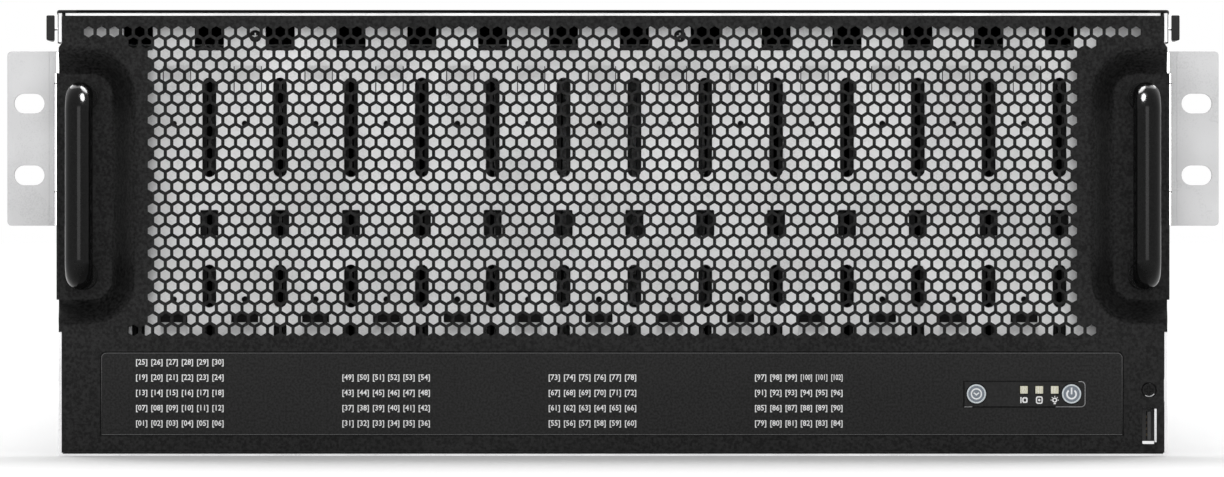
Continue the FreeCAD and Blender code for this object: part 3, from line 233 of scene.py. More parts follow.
class Form:
    """A mesh in the making, in millimetres."""

    def __init__(self) -> None:
        """Starts with no points and no faces."""
        self.points: list[Point3] = []
        self.faces: list[tuple[int, ...]] = []

    def ring(self, points: Iterable[Point3]) -> list[int]:
        """Adds points and gives their numbers."""
        first = len(self.points)
        self.points.extend(points)
        return list(range(first, len(self.points)))

    def level(self, way: Way, loop: Loop, deep: float) -> list[int]:
        """Adds an outline at one depth and gives its numbers."""
        return self.ring(way.place(u, v, deep) for u, v in loop)

    def join(self, one: Sequence[int], two: Sequence[int], closed: bool = True) -> None:
        """Fills the band between two rows of points with quads."""
        count = len(one)
        for n in range(count if closed else count - 1):
            after = (n + 1) % count
            self.faces.append((one[n], one[after], two[after], two[n]))

    def cap(self, ring: Sequence[int]) -> None:
        """Closes a ring with one face."""
        self.faces.append(tuple(ring))

    def fill(self, way: Way, loops: Sequence[Loop], deep: float) -> list[list[int]]:
        """Fills an outline less its holes at one depth, and gives each loop's numbers."""
        rings = [self.level(way, loop, deep) for loop in loops]
        if len(loops) == 1:
            self.cap(rings[0])
            return rings
        flat = [number for ring in rings for number in ring]
        self.faces.extend(tuple(flat[n] for n in face) for face in flat_faces(loops))
        return rings

    def plate(self, loops: Sequence[Loop], low: float, high: float, cut: float = 0.0,
              way: Way = Way.FRONT) -> None:
        """Adds a flat plate with holes and lightly broken edges.

        Args:
            loops: the outline first, then the holes, all counter-clockwise.
            low, high: the depths of its two faces.
            cut: the width of the broken edges.
            way: the plane it lies in.
        """
        inner = [grown(loop, cut if n else -cut) for n, loop in enumerate(loops)] if cut else list(loops)
        near = self.fill(way, inner, low)
        far = self.fill(way, inner, high)
        for loop, one, two in zip(loops, near, far):
            if cut:
                ring_low = self.level(way, loop, low + cut)
                ring_high = self.level(way, loop, high - cut)
                self.join(one, ring_low)
                self.join(ring_low, ring_high)
                self.join(ring_high, two)
            else:
                self.join(one, two)

    def block(self, low: Point3, high: Point3, cut: float = 0.2) -> None:
        """Adds a box with all its edges broken."""
        outline = rectangle(low[0], high[0], low[2], high[2], cut, 1)
        self.plate([outline], low[1], high[1], cut)

    def lathe(self, centre: Point2, profile: Sequence[Point2], sides: int, way: Way = Way.FRONT) -> None:
        """Adds a turned form about an axis along the depth.

        Args:
            centre: where the axis stands in the plane across it.
            profile: radius and depth of each ring, from one end to the other.
            sides: points on each ring.
            way: the plane across the axis.
        """
        rings = [self.level(way, circle(*centre, radius, sides), deep) for radius, deep in profile]
        self.cap(rings[0])
        for one, two in zip(rings, rings[1:]):
            self.join(one, two)
        self.cap(rings[-1])

    def tube(self, path: Sequence[Vector], radius: float, sides: int, closed: bool = False) -> None:
        """Adds a bar of round section along a path.

        Args:
            path: the middle line.
            radius: the bar's radius.
            sides: points round the bar.
            closed: whether the path ends where it starts.
        """
        rings = []
        count = len(path)
        across = None
        for n, here in enumerate(path):
            before = path[n - 1] if n or closed else here
            after = path[(n + 1) % count] if n + 1 < count or closed else here
            along = (after - before).normalized()
            if across is None:
                across = along.orthogonal().normalized()
            across = (across - along * across.dot(along)).normalized()
            other = along.cross(across)
            turns = [2 * math.pi * k / sides for k in range(sides)]
            rings.append(self.ring(tuple(here + across * (radius * math.cos(t))
                                         + other * (radius * math.sin(t))) for t in turns))
        for one, two in zip(rings, rings[1:]):
            self.join(one, two)
        if closed:
            self.join(rings[-1], rings[0])
        else:
            self.cap(rings[0])
            self.cap(rings[-1])

    def add(self, other: "Form") -> None:
        """Takes in another form's points and faces."""
        first = len(self.points)
        self.points.extend(other.points)
        self.faces.extend(tuple(n + first for n in face) for face in other.faces)

    def mirrored(self) -> "Form":
        """Gives the left-hand copy of a right-hand form."""
        made = Form()
        made.points = [(-x, y, z) for x, y, z in self.points]
        made.faces = list(self.faces)
        return made

    def on(self, side: Side) -> "Form":
        """Gives a right-hand form as it is, or its mirror for the left."""
        return self if side is Side.RIGHT else self.mirrored()


def grey(value: float, blue: float = 0.0) -> Colour:
    """Gives a grey, with a little more blue where asked."""
    return (value, value, value + blue)


@dataclass(frozen=True)
class Finish:
    """A surface finish, made as a node material when it is first used."""

    name: str
    slot: str
    colour: Colour
    second: Colour
    rough: tuple[float, float]
    grain: Grain
    size: float
    relief: float
    metal: float = 0.0
    specular: float = 0.5
    coat: float = 0.0

    def material(self) -> bpy.types.Material:
        """Gives this finish's material, and builds it the first time."""
        known = bpy.data.materials.get(self.name)
        if known:
            return known
        made = bpy.data.materials.new(self.name)
        made.use_nodes = True
        made.diffuse_color = (*self.colour, 1.0)
        shader = made.node_tree.nodes["Principled BSDF"]
        shader.inputs["Metallic"].default_value = self.metal
        shader.inputs["Specular IOR Level"].default_value = self.specular
        if self.coat:
            shader.inputs["Coat Weight"].default_value = self.coat
            shader.inputs["Coat Roughness"].default_value = 0.12
        self.weave(made.node_tree, shader)
        return made

    def weave(self, tree: bpy.types.NodeTree, shader: bpy.types.Node) -> None:
        """Links colour, roughness and relief to patterns in the piece's own space."""
        nodes, links = tree.nodes, tree.links
        where = nodes.new("ShaderNodeTexCoord").outputs["Object"]
        scale = nodes.new("ShaderNodeMapping")
        stretch = {Grain.BRUSHED: (0.06, 0.06, 1.0), Grain.RIBBED: (1.0, 0.02, 0.02)}
        scale.inputs["Scale"].default_value = stretch.get(self.grain, (1.0, 1.0, 1.0))
        links.new(where, scale.inputs["Vector"])
        noise, patch, flake, flake_share = "ShaderNodeTexNoise", 45.0, 18.0, 0.35
        fine = self.pattern(tree, noise, scale.outputs["Vector"], self.size)
        broad = self.pattern(tree, noise, where, self.size * patch)
        broad.inputs["Detail"].default_value = 3.0
        shade = fine.outputs["Fac"]
        if self.grain is Grain.ZINC:
            flakes = self.pattern(tree, "ShaderNodeTexVoronoi", where, self.size * flake)
            blend = nodes.new("ShaderNodeMath")
            blend.operation = "MULTIPLY_ADD"
            blend.inputs[1].default_value = flake_share
            links.new(flakes.outputs["Color"], blend.inputs[0])
            links.new(shade, blend.inputs[2])
            shade = blend.outputs[0]
        colour = nodes.new("ShaderNodeMix")
        colour.data_type = "RGBA"
        colour.inputs["A"].default_value = (*self.colour, 1.0)
        colour.inputs["B"].default_value = (*self.second, 1.0)
        share = self.spread(tree, shade, low=0.36, high=0.64, first=0.0, last=1.0)
        links.new(share, colour.inputs["Factor"])
        links.new(colour.outputs["Result"], shader.inputs["Base Color"])
        first, last = self.rough
        rough = self.spread(tree, broad.outputs["Fac"], low=0.3, high=0.7, first=first, last=last)
        links.new(rough, shader.inputs["Roughness"])
        bump = nodes.new("ShaderNodeBump")
        bump.inputs["Distance"].default_value = self.relief * MM
        bump.inputs["Strength"].default_value = 1.0
        links.new(fine.outputs["Fac"], bump.inputs["Height"])
        links.new(bump.outputs["Normal"], shader.inputs["Normal"])

    @staticmethod
    def pattern(tree: bpy.types.NodeTree, kind: str, where: bpy.types.NodeSocket,
                size: float) -> bpy.types.Node:
        """Adds a pattern node whose grains are about so many millimetres wide."""
        node = tree.nodes.new(kind)
        node.inputs["Scale"].default_value = 1.0 / MM / size
        tree.links.new(where, node.inputs["Vector"])
        return node

    @staticmethod
    def spread(tree: bpy.types.NodeTree, source: bpy.types.NodeSocket, low: float, high: float,
               first: float, last: float) -> bpy.types.NodeSocket:
        """Maps a pattern's range onto a range of values and gives the socket."""
        node = tree.nodes.new("ShaderNodeMapRange")
        for key, number in (("From Min", low), ("From Max", high), ("To Min", first), ("To Max", last)):
            node.inputs[key].default_value = number
        tree.links.new(source, node.inputs["Value"])
        return node.outputs["Result"]


class Finishes:
    """The finishes of this server."""

    PANEL = Finish("black_powder_coat", "panel_black", grey(0.003), grey(0.018), (0.46, 0.58),
                   Grain.POWDER, 1.1, 0.05, specular=0.12)
    # a darker, less shiny copy of the cover's coat: painted shade on the front edge
    COVER_FRONT_SHADE = Finish("cover_front_painted_shade", "cover_black", grey(0.001), grey(0.003), (0.5, 0.6),
                        Grain.POWDER, 1.1, 0.02, specular=0.04)
    COVER = Finish("cover_powder_coat", "cover_black", grey(0.002), grey(0.011), (0.47, 0.53),
                   Grain.POWDER, 0.9, 0.03, specular=0.12)
    FILM = Finish("overlay_matt_film", "overlay_film", grey(0.008), grey(0.021), (0.50, 0.58),
                  Grain.MOULDED, 0.9, 0.012, specular=0.14)
    ZINC = Finish("zinc_sheet", "zinc_steel", grey(0.52, 0.005), grey(0.62, 0.005), (0.36, 0.48),
                  Grain.ZINC, 0.6, 0.006, metal=0.7)
    EAR = Finish("ear_zinc_sheet", "zinc_steel", grey(0.46, 0.005), grey(0.53, 0.005), (0.36, 0.48),
                 Grain.ZINC, 0.6, 0.006, metal=0.3)
    # bright steel: the cover tabs' stems, and the strips along the ear bends painted as a highlight
    PIN_STEEL_AND_BEND_HIGHLIGHT = Finish("ear_bright_bend", "zinc_steel", grey(0.93), grey(0.97), (0.14, 0.22),
                  Grain.BRUSHED, 0.6, 0.003, metal=1.0)
    # lighter copy of the zinc sheet: painted light making up for the shade behind the grille
    CAGE = Finish("cage_zinc_painted_lighter", "zinc_steel", grey(0.80, 0.005), grey(0.90, 0.005), (0.40, 0.52),
                  Grain.ZINC, 0.6, 0.006, metal=0.55)
    HANDLE = Finish("handle_satin_black", "handle_black", grey(0.002), grey(0.005), (0.11, 0.17),
                    Grain.MOULDED, 0.9, 0.003, specular=0.14)
    BEZEL = Finish("bezel_black_plastic", "bezel_black", grey(0.004), grey(0.013), (0.40, 0.50),
                   Grain.MOULDED, 0.9, 0.010, specular=0.16)
    # lighter grey: painted highlight along the film's edge
    FILM_EDGE_HIGHLIGHT = Finish("film_edge_painted_highlight", "overlay_film", grey(0.09, 0.002), grey(0.17, 0.002), (0.4, 0.5),
                      Grain.MOULDED, 0.5, 0.004)
    # light grey: painted highlight along the lens edge
    LENS_HIGHLIGHT = Finish("lens_painted_highlight", "bezel_black", grey(0.34, 0.01), grey(0.50, 0.01), (0.25, 0.35),
                       Grain.MOULDED, 0.5, 0.004)
    BUTTON = Finish("button_frosted_grey", "button_grey", (0.13, 0.16, 0.20), (0.18, 0.21, 0.25),
                    (0.35, 0.45), Grain.MOULDED, 0.4, 0.006)
    RIM = Finish("button_pale_rim", "button_grey", (0.62, 0.68, 0.72), (0.72, 0.77, 0.80),
                 (0.35, 0.45), Grain.MOULDED, 0.4, 0.006)
    INK = Finish("white_print", "overlay_film", grey(0.86), grey(0.94), (0.55, 0.65),
                 Grain.MOULDED, 0.3, 0.002)
    ICON = Finish("white_button_print", "button_grey", (0.86, 0.88, 0.90), (0.92, 0.93, 0.94),
                  (0.5, 0.6), Grain.MOULDED, 0.3, 0.002)
    LIGHT = Finish("pale_light_window", "light_clear", (0.62, 0.60, 0.40), (0.92, 0.90, 0.80),
                   (0.18, 0.26), Grain.RIBBED, 0.55, 0.02, coat=0.3)
    BOARD = Finish("green_board", "board_green", (0.012, 0.075, 0.035), (0.02, 0.11, 0.055),
                   (0.35, 0.5), Grain.MOULDED, 1.2, 0.02)
    PLASTIC = Finish("black_moulding", "black_plastic", grey(0.020, 0.001), grey(0.032, 0.001), (0.45, 0.56),
                     Grain.MOULDED, 0.5, 0.02, specular=0.4)
    TAB = Finish("tab_black_moulding", "black_plastic", grey(0.008), grey(0.015), (0.42, 0.52),
                 Grain.MOULDED, 0.5, 0.02, specular=0.2)
    FAN = Finish("fan_black_moulding", "fan_plastic", grey(0.020, 0.001), grey(0.032, 0.001), (0.38, 0.5),
                 Grain.MOULDED, 0.6, 0.015)
    PORT = Finish("bright_plating", "port_steel", grey(0.78, 0.01), grey(0.86, 0.01), (0.14, 0.24),
                  Grain.BRUSHED, 0.5, 0.004, metal=1.0)
    # near black: painted shade for the disks, seen deep behind the cage slots
    DISK = Finish("disk_carrier_painted_shade", "disk_metal", grey(0.004), grey(0.010), (0.4, 0.55),
                  Grain.BRUSHED, 0.6, 0.01, specular=0.1)
    POWER = Finish("supply_case_metal", "psu_metal", grey(0.50, 0.01), grey(0.60, 0.01), (0.36, 0.48),
                   Grain.ZINC, 0.6, 0.006, metal=0.9)
    SINK = Finish("sink_aluminium", "sink_metal", (0.62, 0.63, 0.64), grey(0.72, 0.01), (0.3, 0.4),
                  Grain.BRUSHED, 0.5, 0.008, metal=1.0)
    SCREW_BLACK = Finish("black_oxide_screw", "screw_black", grey(0.002), grey(0.006), (0.30, 0.42),
                         Grain.MOULDED, 0.4, 0.008, specular=0.1)
    SCREW = Finish("plated_screw", "screw_steel", grey(0.50, 0.01), grey(0.62, 0.01), (0.25, 0.35),
                   Grain.BRUSHED, 0.4, 0.004, metal=1.0)
    BRASS = Finish("brass_pin", "pin_brass", (0.62, 0.45, 0.18), (0.72, 0.55, 0.25), (0.25, 0.35),
                   Grain.BRUSHED, 0.4, 0.004, metal=1.0)
    CATCH = Finish("blue_touch_point", "catch_blue", (0.03, 0.12, 0.26), (0.045, 0.16, 0.32), (0.4, 0.5),
                   Grain.MOULDED, 0.5, 0.015)

    CAD_NODES: dict[Finish, str] = {
        ZINC: "chassis_tub rear_frame psu_bay row_walls board_rails expander_hoods controller_left_tray "
              "controller_right_tray",
        BOARD: "control_board service_port_board bay_boards controller_left_card controller_right_card",
        PLASTIC: "tact_switches psu_1_pull psu_2_pull controller_left_pull controller_right_pull",
        FAN: "fan_frames fan_rotor_1 fan_rotor_2 fan_rotor_3 fan_rotor_4 fan_rotor_5",
        PORT: "controller_left_ports controller_right_ports",
        DISK: "disks_zone_1 disks_zone_2 disks_zone_3 disks_zone_4",
        POWER: "psu_1_case psu_2_case", SINK: "controller_left_sink controller_right_sink",
        SCREW: "handle_screws ear_screws", BRASS: "psu_1_pins psu_2_pins", CATCH: "psu_1_latch psu_2_latch",
    }


def put(name: str, data: bpy.types.ID) -> bpy.types.Object:
    """Makes an object for some data and links it to the scene."""
    made = bpy.data.objects.new(name, data)
    bpy.context.scene.collection.objects.link(made)
    return made


def make_piece(form: Form, name: str, finish: Finish, replaces: Sequence[str] = (), body: str = "chassis",
               crease: float = 32.0) -> None:
    """Turns a form into an object, dresses it and sets it on its body.

    Args:
        form: the mesh, in millimetres.
        name: the piece's name.
        finish: its finish.
        replaces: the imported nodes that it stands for.
        body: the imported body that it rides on.
        crease: the angle over which an edge stays sharp, in degrees.
    """
    mesh = bpy.data.meshes.new(name)
    mesh.from_pydata([(x * MM, y * MM, z * MM) for x, y, z in form.points], [], form.faces)
    work = bmesh.new()
    work.from_mesh(mesh)
    bmesh.ops.remove_doubles(work, verts=work.verts, dist=WELD * MM)
    bmesh.ops.recalc_face_normals(work, faces=work.faces)
    work.to_mesh(mesh)
    work.free()
    mesh.shade_smooth()
    mesh.set_sharp_from_angle(angle=math.radians(crease))
    mesh.materials.append(finish.material())
    made = put(name, mesh)
    weigh = made.modifiers.new("even_shading", "WEIGHTED_NORMAL")
    weigh.keep_sharp = True
    if replaces:
        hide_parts(*replaces)
    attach(made, body)
    log.info("%s: %d faces on %s", name, len(mesh.polygons), body)


def printed(marks: Iterable[Sequence[Loop]], near: float, far: float) -> Form:
    """Gives thin raised print: one plate for each mark."""
    form = Form()
    for loops in marks:
        form.plate(loops, near, far)
    return form


@dataclass
class FrontPanel:
    """The pressed front panel with its hexagon grille and handle dishes; the left mirrors the right."""

    face: float = -28.0
    sheet: float = 1.2
    half: float = 219.1
    end_half: float = 217.8
    low: float = 1.4
    step: float = 49.0
    notch: float = 161.7
    chamfer: float = 2.0
    top: float = 173.95
    corner: Point2 = (0.55, 1.1)  # width, height
    edge: float = 0.4
    dish_in: float = 199.0
    dish_low: float = 62.0
    dish_high: float = 150.8
    dish_slope: float = 10.4
    dish_depth: float = 12.0
    dish_round: float = 8.0
    dish_out: float = 220.8
    dish_rows: int = 12
    ramp: float = 0.25
    flare: float = 0.8
    flange_end: float = -4.0
    flange_low: float = 61.6
    flange_high: float = 151.6
    flange_bend: float = 0.5
    hole: float = 3.78
    hole_edge: float = 0.13
    pitch: float = 5.049
    grille_x: float = -0.25
    row_top: float = 167.6
    row_step: float = 4.37
    row_counts: tuple[int, ...] = (83, 76) + (73, 72) * 12 + (73, 76)
    overlay: Row = (-202.2, 201.3, 8.3, 40.7, 2.0)  # left, right, low, high, corner
    recess_gap: float = 0.3
    recess_lip: float = 0.25
    recess_deep: float = 0.5
    bezel: Row = (138.7, 186.6, 19.3, 29.4, 1.6)  # left, right, low, high, corner
    bezel_gap: float = 0.2
    window_edge: float = 0.02
    screw: Point3 = (211.8, 26.0, 2.75)  # x, z, radius
    port: Row = (209.0, 215.0, 4.55, 19.05, 0.7)  # left, right, low, high, corner
    port_edge: float = 0.15
    hem: Point3 = (0.3, 0.1, 0.75)  # depth, rise, radius

    def holes(self) -> list[Loop]:
        """Gives the mouth of every hexagon, row by row from the top."""
        across = (self.hole + 2 * self.hole_edge) / math.sqrt(3)
        made = []
        for row, count in enumerate(self.row_counts):
            z = self.row_top - row * self.row_step
            left = self.grille_x - (count - 1) / 2 * self.pitch
            made += [circle(left + n * self.pitch, z, across, 6, 30) for n in range(count)]
        return made

    def dish_curve(self, inset: float) -> Loop:
        """Gives the right dish's line at one inset, from its low end round to its high end."""
        x = self.dish_in - self.dish_slope + inset
        low = self.dish_low - self.dish_slope + inset
        high = self.dish_high + self.dish_slope - inset
        r = self.dish_round + self.dish_slope - inset
        end = self.half - self.edge + self.flare * inset / self.dish_slope
        return u_line(end, x, low, high, r, 10)

    def slope(self, share: float) -> float:
        """Gives the dish's depth at a share of its slope: a ramp with rounded ends."""
        return self.dish_depth * (self.ramp * share + (1 - self.ramp) * share * share * (3 - 2 * share))

    def right_side(self) -> tuple[Loop, Loop]:
        """Gives the panel's right edge below and above the dish, with the small raised corner at its top."""
        e = self.edge
        end, side = self.end_half - e, self.half - e
        wide, tall = self.corner
        lift = self.top + tall - e
        below = [(end, self.low + e), (end, self.step + e), (side, self.step + e)]
        above = [(side, self.notch - e), (end, self.notch + self.chamfer - e), (end, lift),
                 (end - wide, lift), (end - wide, self.top - e)]
        return below, above

    def overlay_loop(self) -> Loop:
        """Gives the number overlay's outline, with its upper corners round."""
        left, right, low, high, r = self.overlay
        return ([(left, low), (right, low)] + arc((right - r, high - r), r, 0, 90, 5)
                + arc((left + r, high - r), r, 90, 180, 5))

    def bezel_loop(self) -> Loop:
        """Gives the control bezel's outline, with its right corners round."""
        return right_rounded(*self.bezel)

    def rim(self, form: Form, ring: Sequence[int], feet: Sequence[Point2], cut: float) -> dict[int, int]:
        """Closes one edge of the sheet: a broken edge, then a wall to its back.

        Args:
            form: the panel.
            ring: the edge's points on the front.
            feet: where each point goes at the foot of the broken edge.
            cut: the depth of the broken edge.

        Returns:
            The number of the point on the back for each point of the ring.
        """
        deeps = [form.points[n][1] for n in ring]
        foot = form.ring((x, deep + cut, z) for (x, z), deep in zip(feet, deeps))
        rear = form.ring((x, deep + self.sheet, z) for (x, z), deep in zip(feet, deeps))
        form.join(ring, foot)
        form.join(foot, rear)
        return dict(zip(ring, rear))

    def build(self) -> None:
        """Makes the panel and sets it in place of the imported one."""
        form = Form()
        below, above = self.right_side()
        rows = [self.dish_curve(self.dish_slope * n / self.dish_rows) for n in range(self.dish_rows + 1)]
        right = below + rows[0] + above
        recess = grown(self.overlay_loop(), self.recess_gap)
        x, z, radius = self.screw
        loops = [right + mirrored(right), grown(recess, self.recess_lip),
                 circle(x, z, radius + self.edge, 28), rectangle(*self.port)]
        holes = self.holes()
        rings = form.fill(Way.FRONT, loops + holes, self.face)
        edge = rings[0]
        for side in Side:
            edge = self.press_dish(form, edge, rows, side)
        window = self.press_recess(form, rings[1], recess)
        skin = list(form.faces)
        back = self.rim(form, edge, self.edge_feet(form, edge), self.edge)
        back |= self.rim(form, window, grown(self.bezel_loop(), self.bezel_gap), self.window_edge)
        cuts = [self.edge, self.port_edge] + [self.hole_edge] * len(holes)
        for ring, loop, cut in zip(rings[2:], loops[2:] + holes, cuts):
            back |= self.rim(form, ring, grown(loop, -cut), cut)
        for n in {n for face in skin for n in face} - set(back):
            x, y, z = form.points[n]
            back[n] = form.ring([(x, y + self.sheet, z)])[0]
        form.faces.extend(tuple(back[n] for n in reversed(face)) for face in skin)
        strip = self.flange()
        form.add(strip)
        form.add(strip.mirrored())
        end = self.end_half - self.edge
        deep, rise, thick = self.hem
        form.tube(at_depth([(x, self.low + rise) for x in (-end, 0.0, end)], self.face + deep), thick, 16)
        make_piece(form, "front_panel_pressed", Finishes.PANEL, ["front_panel"], crease=38.0)

    def edge_feet(self, form: Form, edge: Sequence[int]) -> Loop:
        """Gives where each point of the panel's outer edge goes when the edge is broken."""
        flat = [n for n in edge if form.points[n][1] <= self.face + SAME_POINT]
        feet = dict(zip(flat, grown([(form.points[n][0], form.points[n][2]) for n in flat], self.edge)))
        made = []
        for n in edge:
            x, _, z = form.points[n]
            made.append(feet.get(n, (x + math.copysign(self.edge, x), z)))
        return made

    def press_dish(self, form: Form, edge: list[int], rows: Sequence[Loop], side: Side) -> list[int]:
        """Adds one dish below the flat and gives the panel's edge with the dish's ends in it.

        Args:
            form: the panel.
            edge: the panel's edge so far.
            rows: the right dish's lines from its mouth to its floor.
            side: which dish it is.

        Returns:
            The new edge.
        """
        lines = [[(side.value * x, z) for x, z in row] for row in rows]
        spots = {(round(form.points[n][0], 4), round(form.points[n][2], 4)): n for n in edge}
        mouth = [spots[(round(x, 4), round(z, 4))] for x, z in lines[0]]
        low, high, ring = [], [], mouth
        for number, row in enumerate(lines[1:], start=1):
            below = form.level(Way.FRONT, row, self.face + self.slope(number / self.dish_rows))
            form.join(ring, below, closed=False)
            low.append(below[0])
            high.append(below[-1])
            ring = below
        form.cap(ring)
        kept = [n for n in edge if n not in set(mouth[1:-1])]
        start, path = (mouth[0], low + high[::-1]) if side is Side.RIGHT else (mouth[-1], high + low[::-1])
        at = kept.index(start) + 1
        return kept[:at] + path + kept[at:]

    def press_recess(self, form: Form, ring: Sequence[int], recess: Loop) -> list[int]:
        """Adds the number overlay's shallow seat and gives the edge of the control window in it."""
        foot = form.level(Way.FRONT, recess, self.face + self.recess_lip)
        form.join(ring, foot)
        seat = [recess, grown(self.bezel_loop(), self.bezel_gap)]
        floor = form.fill(Way.FRONT, seat, self.face + self.recess_deep)
        form.join(foot, floor[0])
        return floor[1]

    def flange(self) -> Form:
        """Gives the strip that folds back from the right dish's floor along the chassis side."""
        floor, lap = self.face + self.dish_depth, 0.1
        inner = self.half - self.edge + self.flare - lap
        fold = self.half + self.edge
        section = [(inner, floor), (self.dish_out - self.flange_bend, floor),
                   (self.dish_out, floor + self.flange_bend), (self.dish_out, self.flange_end),
                   (fold, self.flange_end), (fold, floor + self.sheet), (inner, floor + self.sheet)]
        strip = Form()
        strip.plate([section], self.flange_low, self.flange_high, SHEET_CUT, Way.TOP)
        return strip


@dataclass
class Handles:
    """The two bent handle bars with their feet."""

    x: float = 209.9
    radius: float = 5.45
    front: float = -46.55
    floor: float = -16.0
    low: float = 71.15
    high: float = 142.0
    bend: float = 6.5
    # wider than the bar, and before the dish's floor
    collar: Line = ((0.1, -0.6), (0.25, -0.4), (0.25, -0.02))

    def path(self, x: float) -> list[Vector]:
        """Gives the bar's middle line from its lower foot to its upper foot."""
        line = u_line(self.floor, self.front, self.low, self.high, self.bend, 12)
        return [Vector((x, y, z)) for y, z in line]

    def build(self) -> None:
        """Makes both bars and their foot collars."""
        collar = [(self.radius + wide, self.floor + deep) for wide, deep in self.collar]
        for side in Side:
            form, node = Form(), f"handle_{side.name.lower()}"
            x = side.value * self.x
            form.tube(self.path(x), self.radius, 40)
            for z in (self.low, self.high):
                form.lathe((x, z), collar, 40)
            make_piece(form, node + "_bar", Finishes.HANDLE, [node], crease=40.0)


@dataclass
class CageWall:
    """The wall behind the grille, with its slots, tabs and screws; its zinc is painted lighter than the
    chassis zinc to make up for the shade behind the grille.
    """

    face: float = -11.0
    sheet: float = 1.2
    half: float = 217.8
    low: float = 1.2
    high: float = 173.6
    pitch: float = 28.15
    first: float = -188.55
    columns: int = 14
    slots: Line = ((110.3, 149.8), (58.5, 75.5))
    slot_wide: float = 5.4
    # half width, low, high, corner
    windows: tuple[Row, ...] = ((3.55, 87.0, 97.2, 0.5), (5.75, 160.7, 170.2, 0.6),
                                (2.5, 43.6, 51.6, 0.4))
    eyes: Row = (131.5, 61.7)
    eye: float = 1.2
    tab_aside: float = 1.2
    tab_half: float = 5.25
    # half width, low, high; lines hold depth and height
    tab_hole: Point3 = (5.6, 143.2, 154.4)
    tab_line: Line = ((0.1, 154.45), (0.9, 149.4), (0.9, 148.2), (0.1, 143.15))
    hook_half: float = 5.2
    hook_hole: Point3 = (5.35, 52.4, 56.1)
    hook_line: Line = ((0.1, 52.6), (-2.2, 48.6), (-2.2, 47.2))
    strip_thick: float = 0.8
    screws: Line = ((-142.1, 166.3), (26.6, 166.3))

    def loops(self) -> list[Loop]:
        """Gives the wall's outline and all its openings."""
        made = [rectangle(-self.half, self.half, self.low, self.high, 1.0)]
        for number in range(self.columns):
            x = self.first + number * self.pitch
            made += [obround(x, low, high, self.slot_wide) for low, high in self.slots]
            made += [rectangle(x - half, x + half, low, high, r, 2) for half, low, high, r in self.windows]
        for x in self.between():
            made += [circle(x, z, self.eye, 16) for z in self.eyes]
            for middle, (half, low, high), r, steps in ((x + self.tab_aside, self.tab_hole, 0.2, 1),
                                                        (x, self.hook_hole, 0.3, 2)):
                made.append(rectangle(middle - half, middle + half, low, high, r, steps))
        return made

    def between(self) -> list[float]:
        """Gives the middles between the slot columns."""
        return [self.first + (number + 0.5) * self.pitch for number in range(self.columns - 1)]

    def strip(self, form: Form, x: float, half: float, line: Sequence[Point2]) -> None:
        """Adds a bent strip of sheet.

        Args:
            form: where it goes.
            x: its middle.
            half: half its width.
            line: depth behind the wall's face and height along its front.
        """
        front = [(self.face + deep, z) for deep, z in line]
        section = front + [(y + self.strip_thick, z) for y, z in reversed(front)]
        form.plate([section], x - half, x + half, way=Way.SIDE)

    def build(self) -> None:
        """Makes the wall and its screws."""
        form = Form()
        form.plate(self.loops(), self.face, self.face + self.sheet, SHEET_CUT)
        for x in self.between():
            self.strip(form, x + self.tab_aside, self.tab_half, self.tab_line)
            self.strip(form, x, self.hook_half, self.hook_line)
        make_piece(form, "cage_front_sheet", Finishes.CAGE, ["cage_front_wall"])
        screws = Form()
        for x, z in self.screws:
            screws.plate([circle(x, z, 2.4, 28), cross(x, z, 1.3, 0.3)], self.face - 1.2, self.face, 0.2)
        make_piece(screws, "cage_wall_screws", Finishes.SCREW_BLACK)


